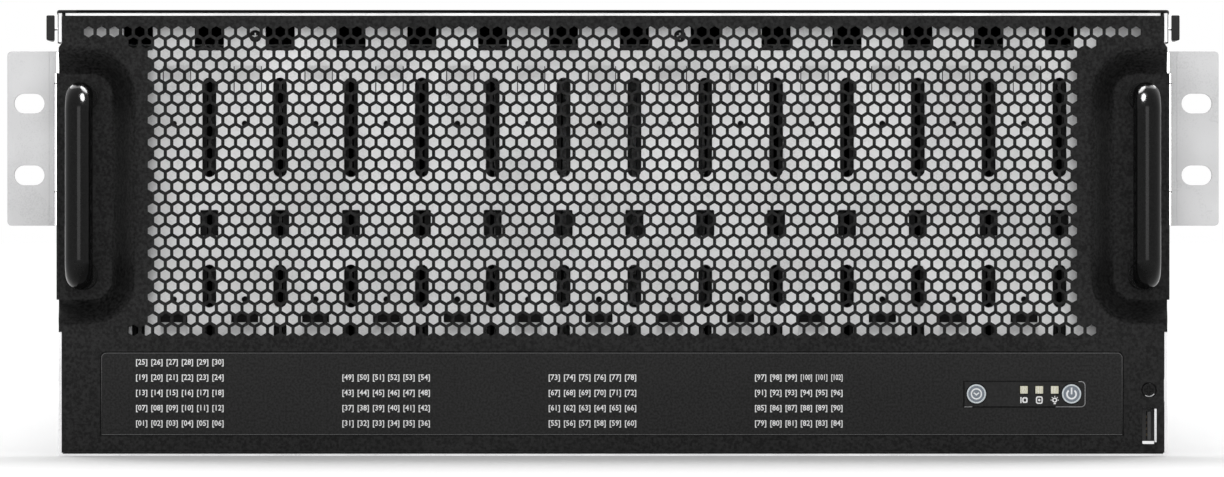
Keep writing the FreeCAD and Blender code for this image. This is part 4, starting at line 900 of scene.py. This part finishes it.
@dataclass
class NumberOverlay:
    """The film with the bay numbers."""

    panel: FrontPanel
    column_step: float = 6.03
    columns: int = 6
    group_step: float = 81.54
    group_rows: tuple[int, ...] = (5, 4, 4, 4)
    first_x: float = -186.285
    rows: Row = (12.63, 18.68, 24.7, 30.76, 36.79)
    tall: float = 2.9
    wide: float = 4.45
    bold: float = 0.013
    proud: float = 0.02
    film_face: float = 0.06
    film_cut: float = 0.1
    film_gap: float = 0.15
    # depth and radius of the lighter line painted as a highlight round the film
    rim_deep: float = 0.05
    rim_round: float = 0.11

    def labels(self) -> list[tuple[str, float, float]]:
        """Gives each number in brackets with its place."""
        made = []
        for group, count in enumerate(self.group_rows):
            for z in self.rows[:count]:
                for column in range(self.columns):
                    x = self.first_x + group * self.group_step + column * self.column_step
                    made.append((f"[{len(made) + 1:02d}]", x, z))
        return made

    def lettering(self) -> Form:
        """Gives the numbers as thin raised print."""
        curve = bpy.data.curves.new("bay_number", "FONT")
        curve.align_x, curve.align_y = "CENTER", "CENTER"
        curve.resolution_u = 2
        curve.offset = self.bold
        holder = bpy.data.objects.new("bay_number", curve)
        form = Form()
        for text, x, z in self.labels():
            curve.body = text
            mesh = bpy.data.meshes.new_from_object(holder)
            us = [vertex.co.x for vertex in mesh.vertices]
            vs = [vertex.co.y for vertex in mesh.vertices]
            wide = self.wide / (max(us) - min(us))
            tall = self.tall / (max(vs) - min(vs))
            mid_u, mid_v = (max(us) + min(us)) / 2, (max(vs) + min(vs)) / 2
            label = Form()
            label.ring((x + (u - mid_u) * wide, self.panel.face + self.proud, z + (v - mid_v) * tall)
                       for u, v in zip(us, vs))
            label.faces = [tuple(face.vertices) for face in mesh.polygons]
            form.add(label)
            bpy.data.meshes.remove(mesh)
        bpy.data.objects.remove(holder)
        bpy.data.curves.remove(curve)
        return form

    def build(self) -> None:
        """Makes the film, a lighter line round its edge painted as a highlight, and its print."""
        face, outline = self.panel.face, self.panel.overlay_loop()
        film = Form()
        film.plate([outline, grown(self.panel.bezel_loop(), self.film_gap)],
                   face + self.film_face, face + self.panel.recess_deep, self.film_cut)
        make_piece(film, "number_film", Finishes.FILM, ["number_overlay"])
        # lighter line round the film: painted highlight on its edge
        rim = Form()
        line = at_depth(grown(outline, -self.film_cut), face + self.rim_deep)
        rim.tube(line, self.rim_round, 6, closed=True)
        make_piece(rim, "number_film_painted_highlight", Finishes.FILM_EDGE_HIGHLIGHT)
        make_piece(self.lettering(), "bay_numbers", Finishes.INK)


@dataclass
class Controls:
    """The control bezel with its buttons, light windows and signs."""

    panel: FrontPanel
    z: float = 24.5
    id_x: float = 143.6
    power_x: float = 181.2
    lights: Row = (162.4, 168.45, 174.55)
    light_z: float = 26.1
    light_half: float = 1.6
    light_ribs: int = 6
    sign_z: float = 22.05
    button: float = 3.8
    button_gap: float = 0.12
    front: float = -28.3
    back: float = -24.3
    proud: float = 0.3
    edge: float = 0.28
    rear_rim: Point2 = (1.4, -0.4)
    rear_seat: float = 0.5
    # where the lines painted as a highlight run along the lens
    lens_right: Point2 = (175.0, 184.0)
    lens_left: Point2 = (138.9, 142.0)
    lens_round: float = 0.13

    def build(self) -> None:
        """Makes the bezel, both buttons, the windows and the signs."""
        self.build_bezel()
        self.build_button("id_button", self.id_x, self.id_sign())
        self.build_button("power_button", self.power_x, self.power_sign())
        self.build_lights()
        signs = printed(self.light_signs(), self.front - 0.02, self.front + 0.05)
        make_piece(signs, "light_signs", Finishes.INK)

    def build_bezel(self) -> None:
        """Makes the bezel with its rear rim, and the lighter line along its lens painted as a highlight."""
        form, outline, half = Form(), self.panel.bezel_loop(), self.light_half
        openings = [circle(x, self.z, self.button + self.button_gap, 40) for x in (self.id_x, self.power_x)]
        openings += [rectangle(x - half, x + half, self.light_z - half, self.light_z + half, 0.25, 2)
                     for x in self.lights]
        form.plate([outline] + openings, self.front, self.back, self.edge)
        seat = self.panel.face + self.panel.sheet + self.rear_seat
        form.plate([grown(outline, by) for by in self.rear_rim], seat, self.back)
        make_piece(form, "control_bezel_plate", Finishes.BEZEL, ["control_bezel"])
        # lighter lines on the lens's right and lower left edges: painted highlight
        edge = Form()
        loop = grown(outline, -0.06)
        low, high = loop[0][1], loop[-1][1]
        right = [(self.lens_right[0], low)] + loop[1:13] + [(self.lens_right[1], high)]
        for line in (right, [(x, low) for x in self.lens_left]):
            edge.tube(at_depth(line, self.front + 0.1), self.lens_round, 6)
        make_piece(edge, "control_lens_painted_highlight", Finishes.LENS_HIGHLIGHT)

    def build_button(self, node: str, x: float, marks: Iterable[Sequence[Loop]]) -> None:
        """Makes one button: cap, pale rim and sign.

        Args:
            node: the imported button.
            x: its middle.
            marks: the outlines of its sign.
        """
        face, body = self.front - self.proud, node + "_cap"
        cap, rim = Form(), Form()
        cap.lathe((x, self.z), [(3.05, face + 0.12), (3.2, face + 0.3), (self.button, face + 0.5),
                                (self.button, self.back + 0.9), (2.2, self.back + 1.0)], 48)
        make_piece(cap, node + "_body", Finishes.BUTTON, [node], body)
        rim.plate([circle(x, self.z, self.button, 48), circle(x, self.z, 3.15, 48)], face, face + 0.5, 0.12)
        make_piece(rim, node + "_rim", Finishes.RIM, body=body)
        top = face + 0.06
        make_piece(printed(marks, top, top + 0.08), node + "_sign", Finishes.ICON, body=body)

    def id_sign(self) -> list[list[Loop]]:
        """Gives the ID button's ring and chevron."""
        x, z = self.id_x, self.z
        chevron = ((-1.2, 0.3), (0.0, -0.75), (1.2, 0.3), (0.85, 0.65), (0.0, -0.05), (-0.85, 0.65))
        return [[circle(x, z, 2.25, 36), circle(x, z, 1.7, 36)], [[(x + u, z + v) for u, v in chevron]]]

    def power_sign(self) -> list[list[Loop]]:
        """Gives the power button's open ring and stroke."""
        x, z = self.power_x, self.z
        middle = (x, z - 0.1)
        return [[arc(middle, 2.15, 128, 412, 28) + arc(middle, 1.45, 412, 128, 28)],
                [rectangle(x - 0.33, x + 0.33, z - 0.2, z + 2.5)]]

    def build_lights(self) -> None:
        """Makes the light windows with fine upright ribs."""
        form = Form()
        half, deep, groove = self.light_half - 0.1, self.back + 3.0, 0.12
        for x in self.lights:
            section = [(x - half + 2 * half * n / self.light_ribs, self.front + (groove if n % 2 else 0.0))
                       for n in range(self.light_ribs + 1)]
            section += [(x + half, deep), (x - half, deep)]
            form.plate([section], self.light_z - half, self.light_z + half, groove / 2, Way.TOP)
        make_piece(form, "light_windows", Finishes.LIGHT, ["light_pipes"], crease=20.0)

    def light_signs(self) -> list[list[Loop]]:
        """Gives the three small signs under the lights: a plug, a disk and a lamp."""
        z = self.sign_z
        plug, disk, lamp = self.lights
        marks = [[rectangle(plug - 1.45, plug - 0.95, z - 1.2, z + 1.2)],
                 [rectangle(plug - 0.7, plug + 1.45, z - 1.15, z + 1.15, 0.7),
                  rectangle(plug - 0.1, plug + 0.85, z - 0.6, z + 0.6, 0.3)],
                 [rectangle(disk - 1.35, disk + 1.35, z - 1.5, z + 1.5, 0.8),
                  rectangle(disk - 0.85, disk + 0.85, z - 1.0, z + 1.0, 0.4)],
                 [circle(disk, z, 0.5, 16)],
                 [circle(lamp, z, 1.0, 20), circle(lamp, z, 0.5, 20)],
                 [rectangle(lamp - 0.45, lamp + 0.45, z - 1.6, z - 1.15)]]
        ray = rectangle(1.2, 1.6, -0.17, 0.17)
        return marks + [[turned(ray, degrees, lamp, z)] for degrees in range(0, 181, 45)]


@dataclass
class ServicePort:
    """The upright service port and the screw above it."""

    panel: FrontPanel
    x0: float = 208.85
    x1: float = 215.15
    z0: float = 4.4
    z1: float = 19.2
    corner: float = 0.8
    wall: float = 0.35
    front: float = -28.3
    back: float = -14.3
    tongue: tuple[Point3, Point3] = ((211.1, -26.7, 6.0), (212.9, -14.7, 17.6))
    contact: tuple[Point3, Point3] = ((211.07, -25.9, -0.5), (211.15, -17.5, 0.5))
    contact_rows: Row = (8.3, 10.65, 13.0, 15.35)
    head: Row = (2.72, -27.82, -26.5, 0.15)  # radius, face, back, edge
    shank: Line = ((1.9, -26.95), (1.6, -26.4), (1.45, -22.0), (1.1, -21.4))

    def build(self) -> None:
        """Makes the port and the panel screw."""
        outer = rectangle(self.x0, self.x1, self.z0, self.z1, self.corner)
        self.build_shell(outer)
        self.build_tongue(outer)
        self.build_screw()

    def build_shell(self, outer: Loop) -> None:
        """Makes the shell with its flared lips."""
        shell = Form()
        shell.plate([outer, grown(outer, -self.wall)], self.front + 1.6, self.back, 0.1)
        lip, foot = self.front + 0.5, self.front + 1.7
        right, low = self.x1 - 0.3, self.z0 + 0.3
        upright = [(right - 0.85, lip + 0.3), (right, lip), (right, foot), (right - 0.6, foot)]
        shell.plate([upright], self.z0 + 1.0, self.z1 - 0.6, way=Way.TOP)
        level = [(lip, low), (foot, low), (foot, low + 0.9), (lip + 0.4, low + 1.15)]
        shell.plate([level], self.x0 + 0.4, right - 1.0, way=Way.SIDE)
        make_piece(shell, "port_shell_folded", Finishes.PORT, ["service_port_shell"])

    def build_tongue(self, outer: Loop) -> None:
        """Makes the tongue with its contacts, and the port's dark back."""
        tongue, contacts = Form(), Form()
        tongue.block(*self.tongue, 0.25)
        tongue.plate([grown(outer, -0.4)], self.front + 6.5, self.back - 0.05)
        make_piece(tongue, "port_tongue_block", Finishes.PLASTIC, ["service_port_tongue"])
        for row in self.contact_rows:
            low, high = ((x, y, row + z) for x, y, z in self.contact)
            contacts.block(low, high, 0.02)
        make_piece(contacts, "port_contacts", Finishes.BRASS)

    def build_screw(self) -> None:
        """Makes the panel screw, and a bright arc on the lower edge of its head painted as a highlight."""
        x, z, _ = self.panel.screw
        radius, face, under, cut = self.head
        screw, head_highlight = Form(), Form()
        screw.plate([circle(x, z, radius, 32), cross(x, z, 1.6, 0.42)], face, under, cut)
        screw.lathe((x, z), self.shank, 24)
        make_piece(screw, "panel_screw_cross", Finishes.SCREW_BLACK, ["panel_screw"])
        # bright arc on the head's lower edge: painted highlight where it faces the light from above
        head_highlight.tube(at_depth(arc((x, z), 2.55, 235, 325, 12), face + 0.02), 0.2, 6)
        make_piece(head_highlight, "panel_screw_painted_highlight", Finishes.SCREW)


@dataclass
class Ears:
    """The two folded rack ears."""

    seam: float = 224.6
    outer: float = 241.3
    inner: float = 219.2
    low: float = 91.0
    high: float = 160.4
    sheet: float = 2.0
    reach: float = 80.0
    corner: float = 1.6
    bend: float = 1.0
    cut: float = 0.08
    slot_x: float = 232.55
    slot_size: Point2 = (12.1, 7.9)
    slots: Row = (111.1, 139.675)
    # heights of the dark blocks painted as the shade inside the relief slits
    slit_shades: Row = (147.7, 104.5)
    slit_shade_ends: Point2 = (220.9, 222.6)
    # x, low, high of the strips painted as a highlight along the bends
    painted_bend_highlights: tuple[Point3, ...] = ((221.3, 91.2, 151.6), (220.6, 151.6, 160.2))

    def form(self) -> Form:
        """Gives the right ear: its slotted flange, and the bend with the arm along the chassis."""
        form = Form()
        outline = right_rounded(self.seam, self.outer, self.low, self.high, self.corner)
        holes = [lying_obround(self.slot_x, z, *self.slot_size) for z in self.slots]
        form.plate([outline] + holes, -self.sheet, 0.0, self.cut)
        arm, r = self.inner + self.sheet, self.bend
        section = ([(self.inner, self.reach), (self.inner, -r)]
                   + arc((self.inner + r, -r), r, 180, 270, 4)[1:] + [(self.seam, -self.sheet)]
                   + [(self.seam, 0.0), (arm + r, 0.0), (arm, r), (arm, self.reach)])
        form.plate([section], self.low, self.high, self.cut, Way.TOP)
        return form

    def build(self) -> None:
        """Makes both ears, with strips painted as a highlight along their bends, and dark blocks painted as
        the shade inside the relief slits beside them.
        """
        right, slit_shades, highlight_strips = self.form(), Form(), Form()
        # dark blocks in front of the bend: painted shade standing for the relief slits
        for z in self.slit_shades:
            slit_shades.block((self.slit_shade_ends[0], -self.sheet - 0.09, z - 0.25),
                        (self.slit_shade_ends[1], -self.sheet + 0.4, z + 0.25), 0.05)
        # pale strips at the bends: painted highlight where the bends catch the light
        for x, low, high in self.painted_bend_highlights:
            highlight_strips.block((x, -self.sheet - 0.05, low), (x + 1.0, -self.sheet + 0.3, high), 0.05)
        highlight_strips.add(highlight_strips.mirrored())
        slit_shades.add(slit_shades.mirrored())
        make_piece(highlight_strips, "ear_bend_painted_highlights", Finishes.PIN_STEEL_AND_BEND_HIGHLIGHT)
        make_piece(right, "ear_right_folded", Finishes.EAR, ["rack_ear_right"])
        make_piece(right.mirrored(), "ear_left_folded", Finishes.EAR, ["rack_ear_left"])
        make_piece(slit_shades, "ear_slit_painted_shades", Finishes.PLASTIC)


@dataclass
class Cover:
    """The sliding top cover with its release tabs."""

    half: float = 220.4
    sheet: float = 1.0
    low: float = 163.4
    top: float = 176.2
    front: float = -28.0
    back: float = 1010.2
    bend: float = 1.6
    bend_steps: int = 6
    hang: float = 0.7
    seam: float = 212.0
    relief: float = 14.0
    pan_rows: int = 4
    pan_columns: int = 3
    pan_first: Point2 = (-200.0, 40.0)
    pan_step: Point2 = (136.0, 238.0)
    pan_size: Point2 = (128.0, 214.0)
    pan_round: float = 10.0
    # inset and drop
    pan_slope: Line = ((0.6, 0.12), (1.8, 0.7), (3.0, 0.9))
    paddle: Line = ((221.6, -14.0), (224.9, -14.0), (224.9, 10.0), (223.4, 10.0))
    paddle_low: float = 164.6
    paddle_high: float = 174.5
    rib_first: float = -9.5
    rib_step: float = 3.75
    ribs: int = 5
    stem: Point2 = (-2.0, 169.15)

    def pans(self) -> list[Loop]:
        """Gives the outlines of the shallow stiffening pans in the top."""
        made = []
        for row in range(self.pan_rows):
            y = self.pan_first[1] + row * self.pan_step[1]
            for column in range(self.pan_columns):
                x = self.pan_first[0] + column * self.pan_step[0]
                made.append(rectangle(x, x + self.pan_size[0], y, y + self.pan_size[1], self.pan_round, 6))
        return made

    def build(self) -> None:
        """Makes the cover, a darker strip on its front edge painted as shade, and both tabs."""
        form, edge = Form(), Form()
        under = self.top - self.sheet
        pans = self.pans()
        loops = [rectangle(-self.seam, self.seam, self.front, self.back)] + pans
        for level in (self.top, under):
            rings = form.fill(Way.TOP, loops, level)
            for loop, ring in zip(pans, rings[1:]):
                for inset, drop in self.pan_slope:
                    below = form.level(Way.TOP, grown(loop, -inset), level - drop)
                    form.join(ring, below)
                    ring = below
                form.cap(ring)
        for y in (self.front, self.back):
            form.cap(form.level(Way.FRONT, rectangle(-self.seam, self.seam, under, self.top), y))
        bend = self.side()
        form.add(bend)
        form.add(bend.mirrored())
        make_piece(form, "top_cover_folded", Finishes.COVER, ["top_cover"], "cover")
        # darker strip over the front edge: painted shade where the edge faces the camera
        edge.block((-self.seam, self.front - 0.06, under),
                   (self.seam, self.front + 0.5, self.top + 0.02), 0.02)
        make_piece(edge, "top_cover_front_painted_shade", Finishes.COVER_FRONT_SHADE, body="cover")
        for side in reversed(Side):
            body, stem = f"tab_{side.name.lower()}", Form()
            node = "cover_" + body
            make_piece(self.tab().on(side), node + "_grip", Finishes.TAB, [node], body)
            stem.lathe(self.stem, [(0.5, 218.0), (0.5, 222.8)], 16, Way.SIDE)
            make_piece(stem.on(side), node + "_stem", Finishes.PIN_STEEL_AND_BEND_HIGHLIGHT, body=body)

    def side(self) -> Form:
        """Gives the right bend and flange, open along the seam; the flange stands back at the front."""
        form, steps = Form(), self.bend_steps
        middle = (self.half - self.bend, self.top - self.bend)
        lines = []
        for inset in (0.0, self.sheet):
            x = self.half - inset
            lines.append([(self.seam, self.top - inset)] + arc(middle, self.bend - inset, 90, 0, steps)
                         + [(x, middle[1] - self.hang), (x, self.low)])
        ends = []
        for y, relief in ((self.front, self.relief), (self.back, 0.0)):
            deeps = [y] + [y + relief * (n / steps) ** 2 for n in range(steps + 1)] + [y + relief] * 2
            ends.append([form.ring((x, deep, z) for (x, z), deep in zip(line, deeps)) for line in lines])
            form.join(*ends[-1], closed=False)
        (front_out, front_in), (back_out, back_in) = ends
        form.join(front_out, back_out, closed=False)
        form.join(front_in, back_in, closed=False)
        form.cap([front_out[-1], back_out[-1], back_in[-1], front_in[-1]])
        return form

    def tab(self) -> Form:
        """Gives the right release tab: paddle and finger ribs."""
        form, end, half = Form(), 1.2, 0.7
        form.plate([list(self.paddle)], self.paddle_low, self.paddle_high, 0.35, Way.TOP)
        for number in range(self.ribs):
            y = self.rib_first + number * self.rib_step
            form.block((224.7, y - half, self.paddle_low + end),
                       (225.2, y + half, self.paddle_high - end), 0.2)
        return form


@dataclass
class Modules:
    """Fine detail at the rear and on the sides."""

    face: float = 1010.2
    psu_mids: tuple[float, float] = (21.25, 62.35)
    inlet: Point2 = (-34.4, -5.0)
    inlet_half: float = 10.7
    inlet_wall: float = 1.8
    blower_x: float = 16.35
    guard_rings: Row = (3.2, 5.9, 8.6, 10.6)
    guard_bar: float = 0.42
    fans: tuple[int, ...] = (-2, -1, 0, 1, 2)
    fan_pitch: float = 84.0
    fan_z: float = 129.0
    fan_hole: float = 35.75
    rivet: Line = ((2.7, 219.1), (2.7, 219.35), (2.1, 219.75), (0.9, 219.9))
    rivet_rows: Row = (14.0, 148.0)
    rivets: int = 9
    rivet_first: float = 112.0
    rivet_step: float = 106.0
    thumb_xs: Row = (48.3, 207.7)
    thumb_z: float = 71.5
    port_first: float = 48.3
    port_step: float = 34.0
    port_low: float = 12.1
    port_wall: float = 0.9
    # width, height, springs
    ports: tuple[tuple[float, float, int], ...] = ((24.0, 11.0, 4), (24.0, 11.0, 4), (24.0, 11.0, 4),
                                                   (16.0, 13.5, 0))

    def build(self) -> None:
        """Makes the supplies' and controllers' trim, the fan screws and the side rivets."""
        for number, z in enumerate(self.psu_mids, start=1):
            self.build_supply(f"psu_{number}", z)
        for side in Side:
            self.build_controller(side, f"controller_{side.name.lower()}")
        screws, rivets = Form(), Form()
        corners = [(x, z) for x in (-self.fan_hole, self.fan_hole) for z in (-self.fan_hole, self.fan_hole)]
        for fan in self.fans:
            for x, z in corners:
                self.add_screw(screws, fan * self.fan_pitch + x, self.fan_z + z)
        make_piece(screws, "fan_screws", Finishes.SCREW)
        for z in self.rivet_rows:
            for number in range(self.rivets):
                place = (self.rivet_first + number * self.rivet_step, z)
                rivets.lathe(place, self.rivet, 20, Way.SIDE)
        rivets.add(rivets.mirrored())
        make_piece(rivets, "side_rivets", Finishes.SCREW)

    def add_screw(self, form: Form, x: float, z: float) -> None:
        """Adds a domed screw head with a cross recess on the rear face."""
        head = [circle(x, z, 2.8, 24), cross(x, z, 1.5, 0.35)]
        form.plate(head, self.face - 0.1, self.face + 1.5, 0.35)
        form.lathe((x, z), [(1.9, self.face), (1.9, self.face + 0.6)], 16)

    def build_supply(self, body: str, z: float) -> None:
        """Makes one power supply's inlet frame, blower guard and light."""
        inlet, guard, lamp = Form(), Form(), Form()
        left, right = self.inlet
        wall, half = self.inlet_wall, self.inlet_half
        hole = rectangle(left + wall, right - wall, z - half + wall, z + half - wall, 1.0)
        inlet.plate([rectangle(left, right, z - half, z + half, wall), hole],
                    self.face - 0.1, self.face + 1.3, 0.3)
        make_piece(inlet, body + "_inlet_frame", Finishes.PLASTIC, body=body)
        deep = self.face - 0.7
        for radius in self.guard_rings:
            guard.tube(at_depth(circle(self.blower_x, z, radius, 40), deep), self.guard_bar, 8, closed=True)
        for degrees in range(45, 405, 90):
            line = turned([(0.5, 0.0), (6.0, 0.0), (10.8, 0.0)], degrees, self.blower_x, z)
            guard.tube(at_depth(line, deep + 0.5), self.guard_bar, 8)
        guard.lathe((self.blower_x, z), [(1.9, deep - 0.3), (1.9, deep + 0.6), (1.3, deep + 0.9)], 24)
        make_piece(guard, body + "_blower_guard", Finishes.SCREW, body=body)
        lens = [(1.3, self.face - 0.1), (1.3, self.face + 0.4), (0.7, self.face + 0.8)]
        lamp.lathe(((left + right) / 2, z + 14.0), lens, 20)
        make_piece(lamp, body + "_lamp", Finishes.LIGHT, body=body)

    def thumb_screws(self) -> Form:
        """Gives the right controller's two knurled thumb screws."""
        form, z, face, teeth = Form(), self.thumb_z, self.face, 24
        for x in self.thumb_xs:
            knurl = [(x + r * math.cos(t), z + r * math.sin(t)) for n in range(2 * teeth)
                     for r, t in ((5.0 if n % 2 else 4.65, math.pi * n / teeth),)]
            form.lathe((x, z), [(3.4, face), (3.4, face + 2.0)], 24)
            form.plate([knurl], face + 1.6, face + 8.2, 0.4)
            form.plate([circle(x, z, 3.6, 28), cross(x, z, 2.0, 0.45)], face + 8.1, face + 9.0, 0.2)
        return form

    def build_controller(self, side: Side, body: str) -> None:
        """Makes one controller's thumb screws, port frames, port lights and sockets."""
        frames, lamps, sockets = Form(), Form(), Form()
        low, wall, face = self.port_low, self.port_wall, self.face
        for number, (wide, tall, springs) in enumerate(self.ports):
            x, high = self.port_first + self.port_step * number, low + tall
            mouth = rectangle(x + wall, x + wide - wall, low + wall, high - wall)
            frames.plate([rectangle(x - wall, x + wide + wall, low - wall, high + wall, 0.5, 2), mouth],
                         face - 0.1, face + 0.9, 0.15)
            sockets.block((x + 0.7, face - 20.0, low + 0.7), (x + wide - 0.7, face - 7.0, high - 0.7))
            for step in range(springs):
                u = x + 3.5 + step * 5.2
                frames.block((u, face - 6.0, high - 1.2), (u + 1.6, face + 0.2, high - 0.8), 0.1)
            for u in (x + wide / 2 - 3.0, x + wide / 2 + 3.0):
                lamps.block((u - 0.9, face - 0.1, 28.4), (u + 0.9, face + 0.35, 29.6), 0.15)
        screws = self.thumb_screws().on(side)
        make_piece(screws, body + "_thumb_screws", Finishes.SCREW, [body + "_screws"], body)
        for form, name, finish in ((frames, "_port_frames", Finishes.PORT),
                                   (lamps, "_port_lamps", Finishes.LIGHT),
                                   (sockets, "_port_sockets", Finishes.PLASTIC)):
            make_piece(form.on(side), body + name, finish, body=body)


@dataclass
class CadDress:
    """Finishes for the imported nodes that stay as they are."""

    broken: float = 0.25
    angle: float = 40.0

    def build(self) -> None:
        """Gives each kept node its finish and lightly broken edges."""
        for finish, names in Finishes.CAD_NODES.items():
            for name in names.split():
                node = bpy.data.objects[name]
                node.data.materials.clear()
                node.data.materials.append(finish.material())
                bevel = node.modifiers.new("broken_edges", "BEVEL")
                bevel.width = self.broken * MM
                bevel.segments = 1
                bevel.limit_method = "ANGLE"
                bevel.angle_limit = math.radians(self.angle)
                log.info("%s: %s", name, finish.name)


@dataclass
class Studio:
    """The white studio: floor, lamps, world and camera; lamps are placed in metres."""

    centre: Point3 = (-0.4, -15.0, 85.9)
    distance: float = 3200.0
    width: float = 485.7
    world_light: float = 0.44
    paper: float = 0.94
    paper_glow: float = 0.04
    handle_aim: Point3 = (0.2085, -0.047, 0.144)
    handle_lamps: tuple[tuple[str, Point3, float, float], ...] = (
        ("near", (0.0916, -0.1475, 0.353), 0.14, 6.0), ("far", (0.0763, 0.1105, 0.427), 0.24, 5.0))

    def build(self) -> None:
        """Sets up the picture."""
        self.add_world()
        self.add_floor()
        self.add_lamp("front_lamp", (0.0, -3.4, 0.7), (0.0, 0.0, 0.08), size=1.6, power=30.0)
        self.add_lamp("top_lamp", (0.0, -0.75, 1.7), (0.0, -0.03, 0.09), size=0.35, power=2.2)
        self.add_handle_lamps()
        self.add_sky_lamp(rise=43.0, spread=60.0, strength=3.0)
        self.add_camera()
        bpy.context.scene.view_settings.view_transform = "Standard"

    @staticmethod
    def shader(tree: bpy.types.NodeTree, kind: str, value: float, strength: float) -> bpy.types.NodeSocket:
        """Adds a grey shader node and gives its socket; one without a strength leaves that out."""
        node = tree.nodes.new(kind)
        node.inputs["Color"].default_value = (*grey(value), 1.0)
        if "Strength" in node.inputs:
            node.inputs["Strength"].default_value = strength
        return node.outputs[0]

    @staticmethod
    def node(tree: bpy.types.NodeTree, kind: str, *sources: bpy.types.NodeSocket) -> bpy.types.Node:
        """Adds a node and links its first inputs to sockets, in order."""
        made = tree.nodes.new(kind)
        for place, source in zip(made.inputs, sources):
            tree.links.new(source, place)
        return made

    def add_world(self) -> None:
        """Makes the world white to the eye and in reflections, and dimmer as light."""
        world = bpy.data.worlds.new("studio_white")
        bpy.context.scene.world = world
        world.use_nodes = True
        tree = world.node_tree
        tree.nodes.clear()
        rays = tree.nodes.new("ShaderNodeLightPath").outputs
        seen = rays["Is Camera Ray"]
        for kind in ("Is Glossy Ray", "Is Transmission Ray"):
            either = self.node(tree, "ShaderNodeMath", seen, rays[kind])
            either.operation = "MAXIMUM"
            seen = either.outputs[0]
        light = self.shader(tree, "ShaderNodeBackground", 1.0, self.world_light)
        white = self.shader(tree, "ShaderNodeBackground", 1.0, 1.0)
        mix = self.node(tree, "ShaderNodeMixShader", seen, light, white)
        self.node(tree, "ShaderNodeOutputWorld", mix.outputs[0])

    def add_floor(self) -> None:
        """Lays a wide pale floor that keeps the shadow."""
        mesh = bpy.data.meshes.new("studio_floor")
        reach = 120.0
        corners = rectangle(-reach, reach, -reach, reach)
        mesh.from_pydata([(x, y, 0) for x, y in corners], [], [(0, 1, 2, 3)])
        floor = put("studio_floor", mesh)
        made = bpy.data.materials.new("studio_paper")
        made.use_nodes = True
        tree = made.node_tree
        tree.nodes.clear()
        paper = self.shader(tree, "ShaderNodeBsdfDiffuse", self.paper, 0.0)
        glow = self.shader(tree, "ShaderNodeEmission", 1.0, self.paper_glow)
        dark = self.shader(tree, "ShaderNodeEmission", 1.0, 0.0)
        seen = tree.nodes.new("ShaderNodeLightPath").outputs["Is Camera Ray"]
        choose = self.node(tree, "ShaderNodeMixShader", seen, dark, glow)
        both = self.node(tree, "ShaderNodeAddShader", paper, choose.outputs[0])
        self.node(tree, "ShaderNodeOutputMaterial", both.outputs[0])
        mesh.materials.append(made)

    def add_handle_lamps(self) -> None:
        """Hangs two lamps over each handle that light its bar alone, for the bright spots on the bends."""
        for side in Side:
            handle = f"handle_{side.name.lower()}"
            bar = bpy.data.collections.new(handle + "_lit")
            bar.objects.link(bpy.data.objects[handle + "_bar"])
            x, y, z = self.handle_aim
            aim = (side.value * x, y, z)
            for name, (x, y, z), size, power in self.handle_lamps:
                place = (side.value * x, y, z)
                lamp = self.add_lamp(f"{handle}_{name}_lamp", place, aim, size, power)
                lamp.data.shape = "DISK"
                lamp.visible_diffuse = False
                lamp.light_linking.receiver_collection = bar

    def add_lamp(self, name: str, place: Point3, aim: Point3, size: float, power: float) -> bpy.types.Object:
        """Hangs a soft square lamp that the camera doesn't see, and gives it."""
        data = bpy.data.lights.new(name, "AREA")
        data.size = size
        data.energy = power
        lamp = put(name, data)
        lamp.location = place
        lamp.rotation_euler = (Vector(aim) - Vector(place)).to_track_quat("-Z", "Y").to_euler()
        lamp.visible_camera = False
        return lamp

    def add_sky_lamp(self, rise: float, spread: float, strength: float) -> None:
        """Adds an even, soft light from behind and above, which lays the shadow to the front.

        Args:
            rise: its height over the floor, in degrees.
            spread: how wide it is, in degrees.
            strength: its strength.
        """
        data = bpy.data.lights.new("sky_lamp", "SUN")
        data.angle = math.radians(spread)
        data.energy = strength
        lamp = put("sky_lamp", data)
        lamp.location = (0.0, 2.0, 3.0)
        lamp.rotation_euler = (math.radians(rise - 90.0), 0.0, 0.0)

    def add_camera(self) -> None:
        """Sets the camera square to the front at the photo's width."""
        data = bpy.data.cameras.new("photo_camera")
        data.sensor_width = 36.0
        data.lens = data.sensor_width * self.distance / self.width
        data.clip_end = 200.0
        camera = put("photo_camera", data)
        x, y, z = self.centre
        camera.location = (x * MM, (y - self.distance) * MM, z * MM)
        camera.rotation_euler = (math.radians(90), 0.0, 0.0)
        bpy.context.scene.camera = camera


def main() -> None:
    """Builds every sub-assembly in order, then the studio."""
    logging.basicConfig(level=logging.INFO, format="%(name)s %(message)s")
    panel = FrontPanel()
    for assembly in (panel, Handles(), CageWall(), NumberOverlay(panel), Controls(panel), ServicePort(panel),
                     Ears(), Cover(), Modules(), CadDress(), Studio()):
        assembly.build()


if __name__ == "__main__":
    main()
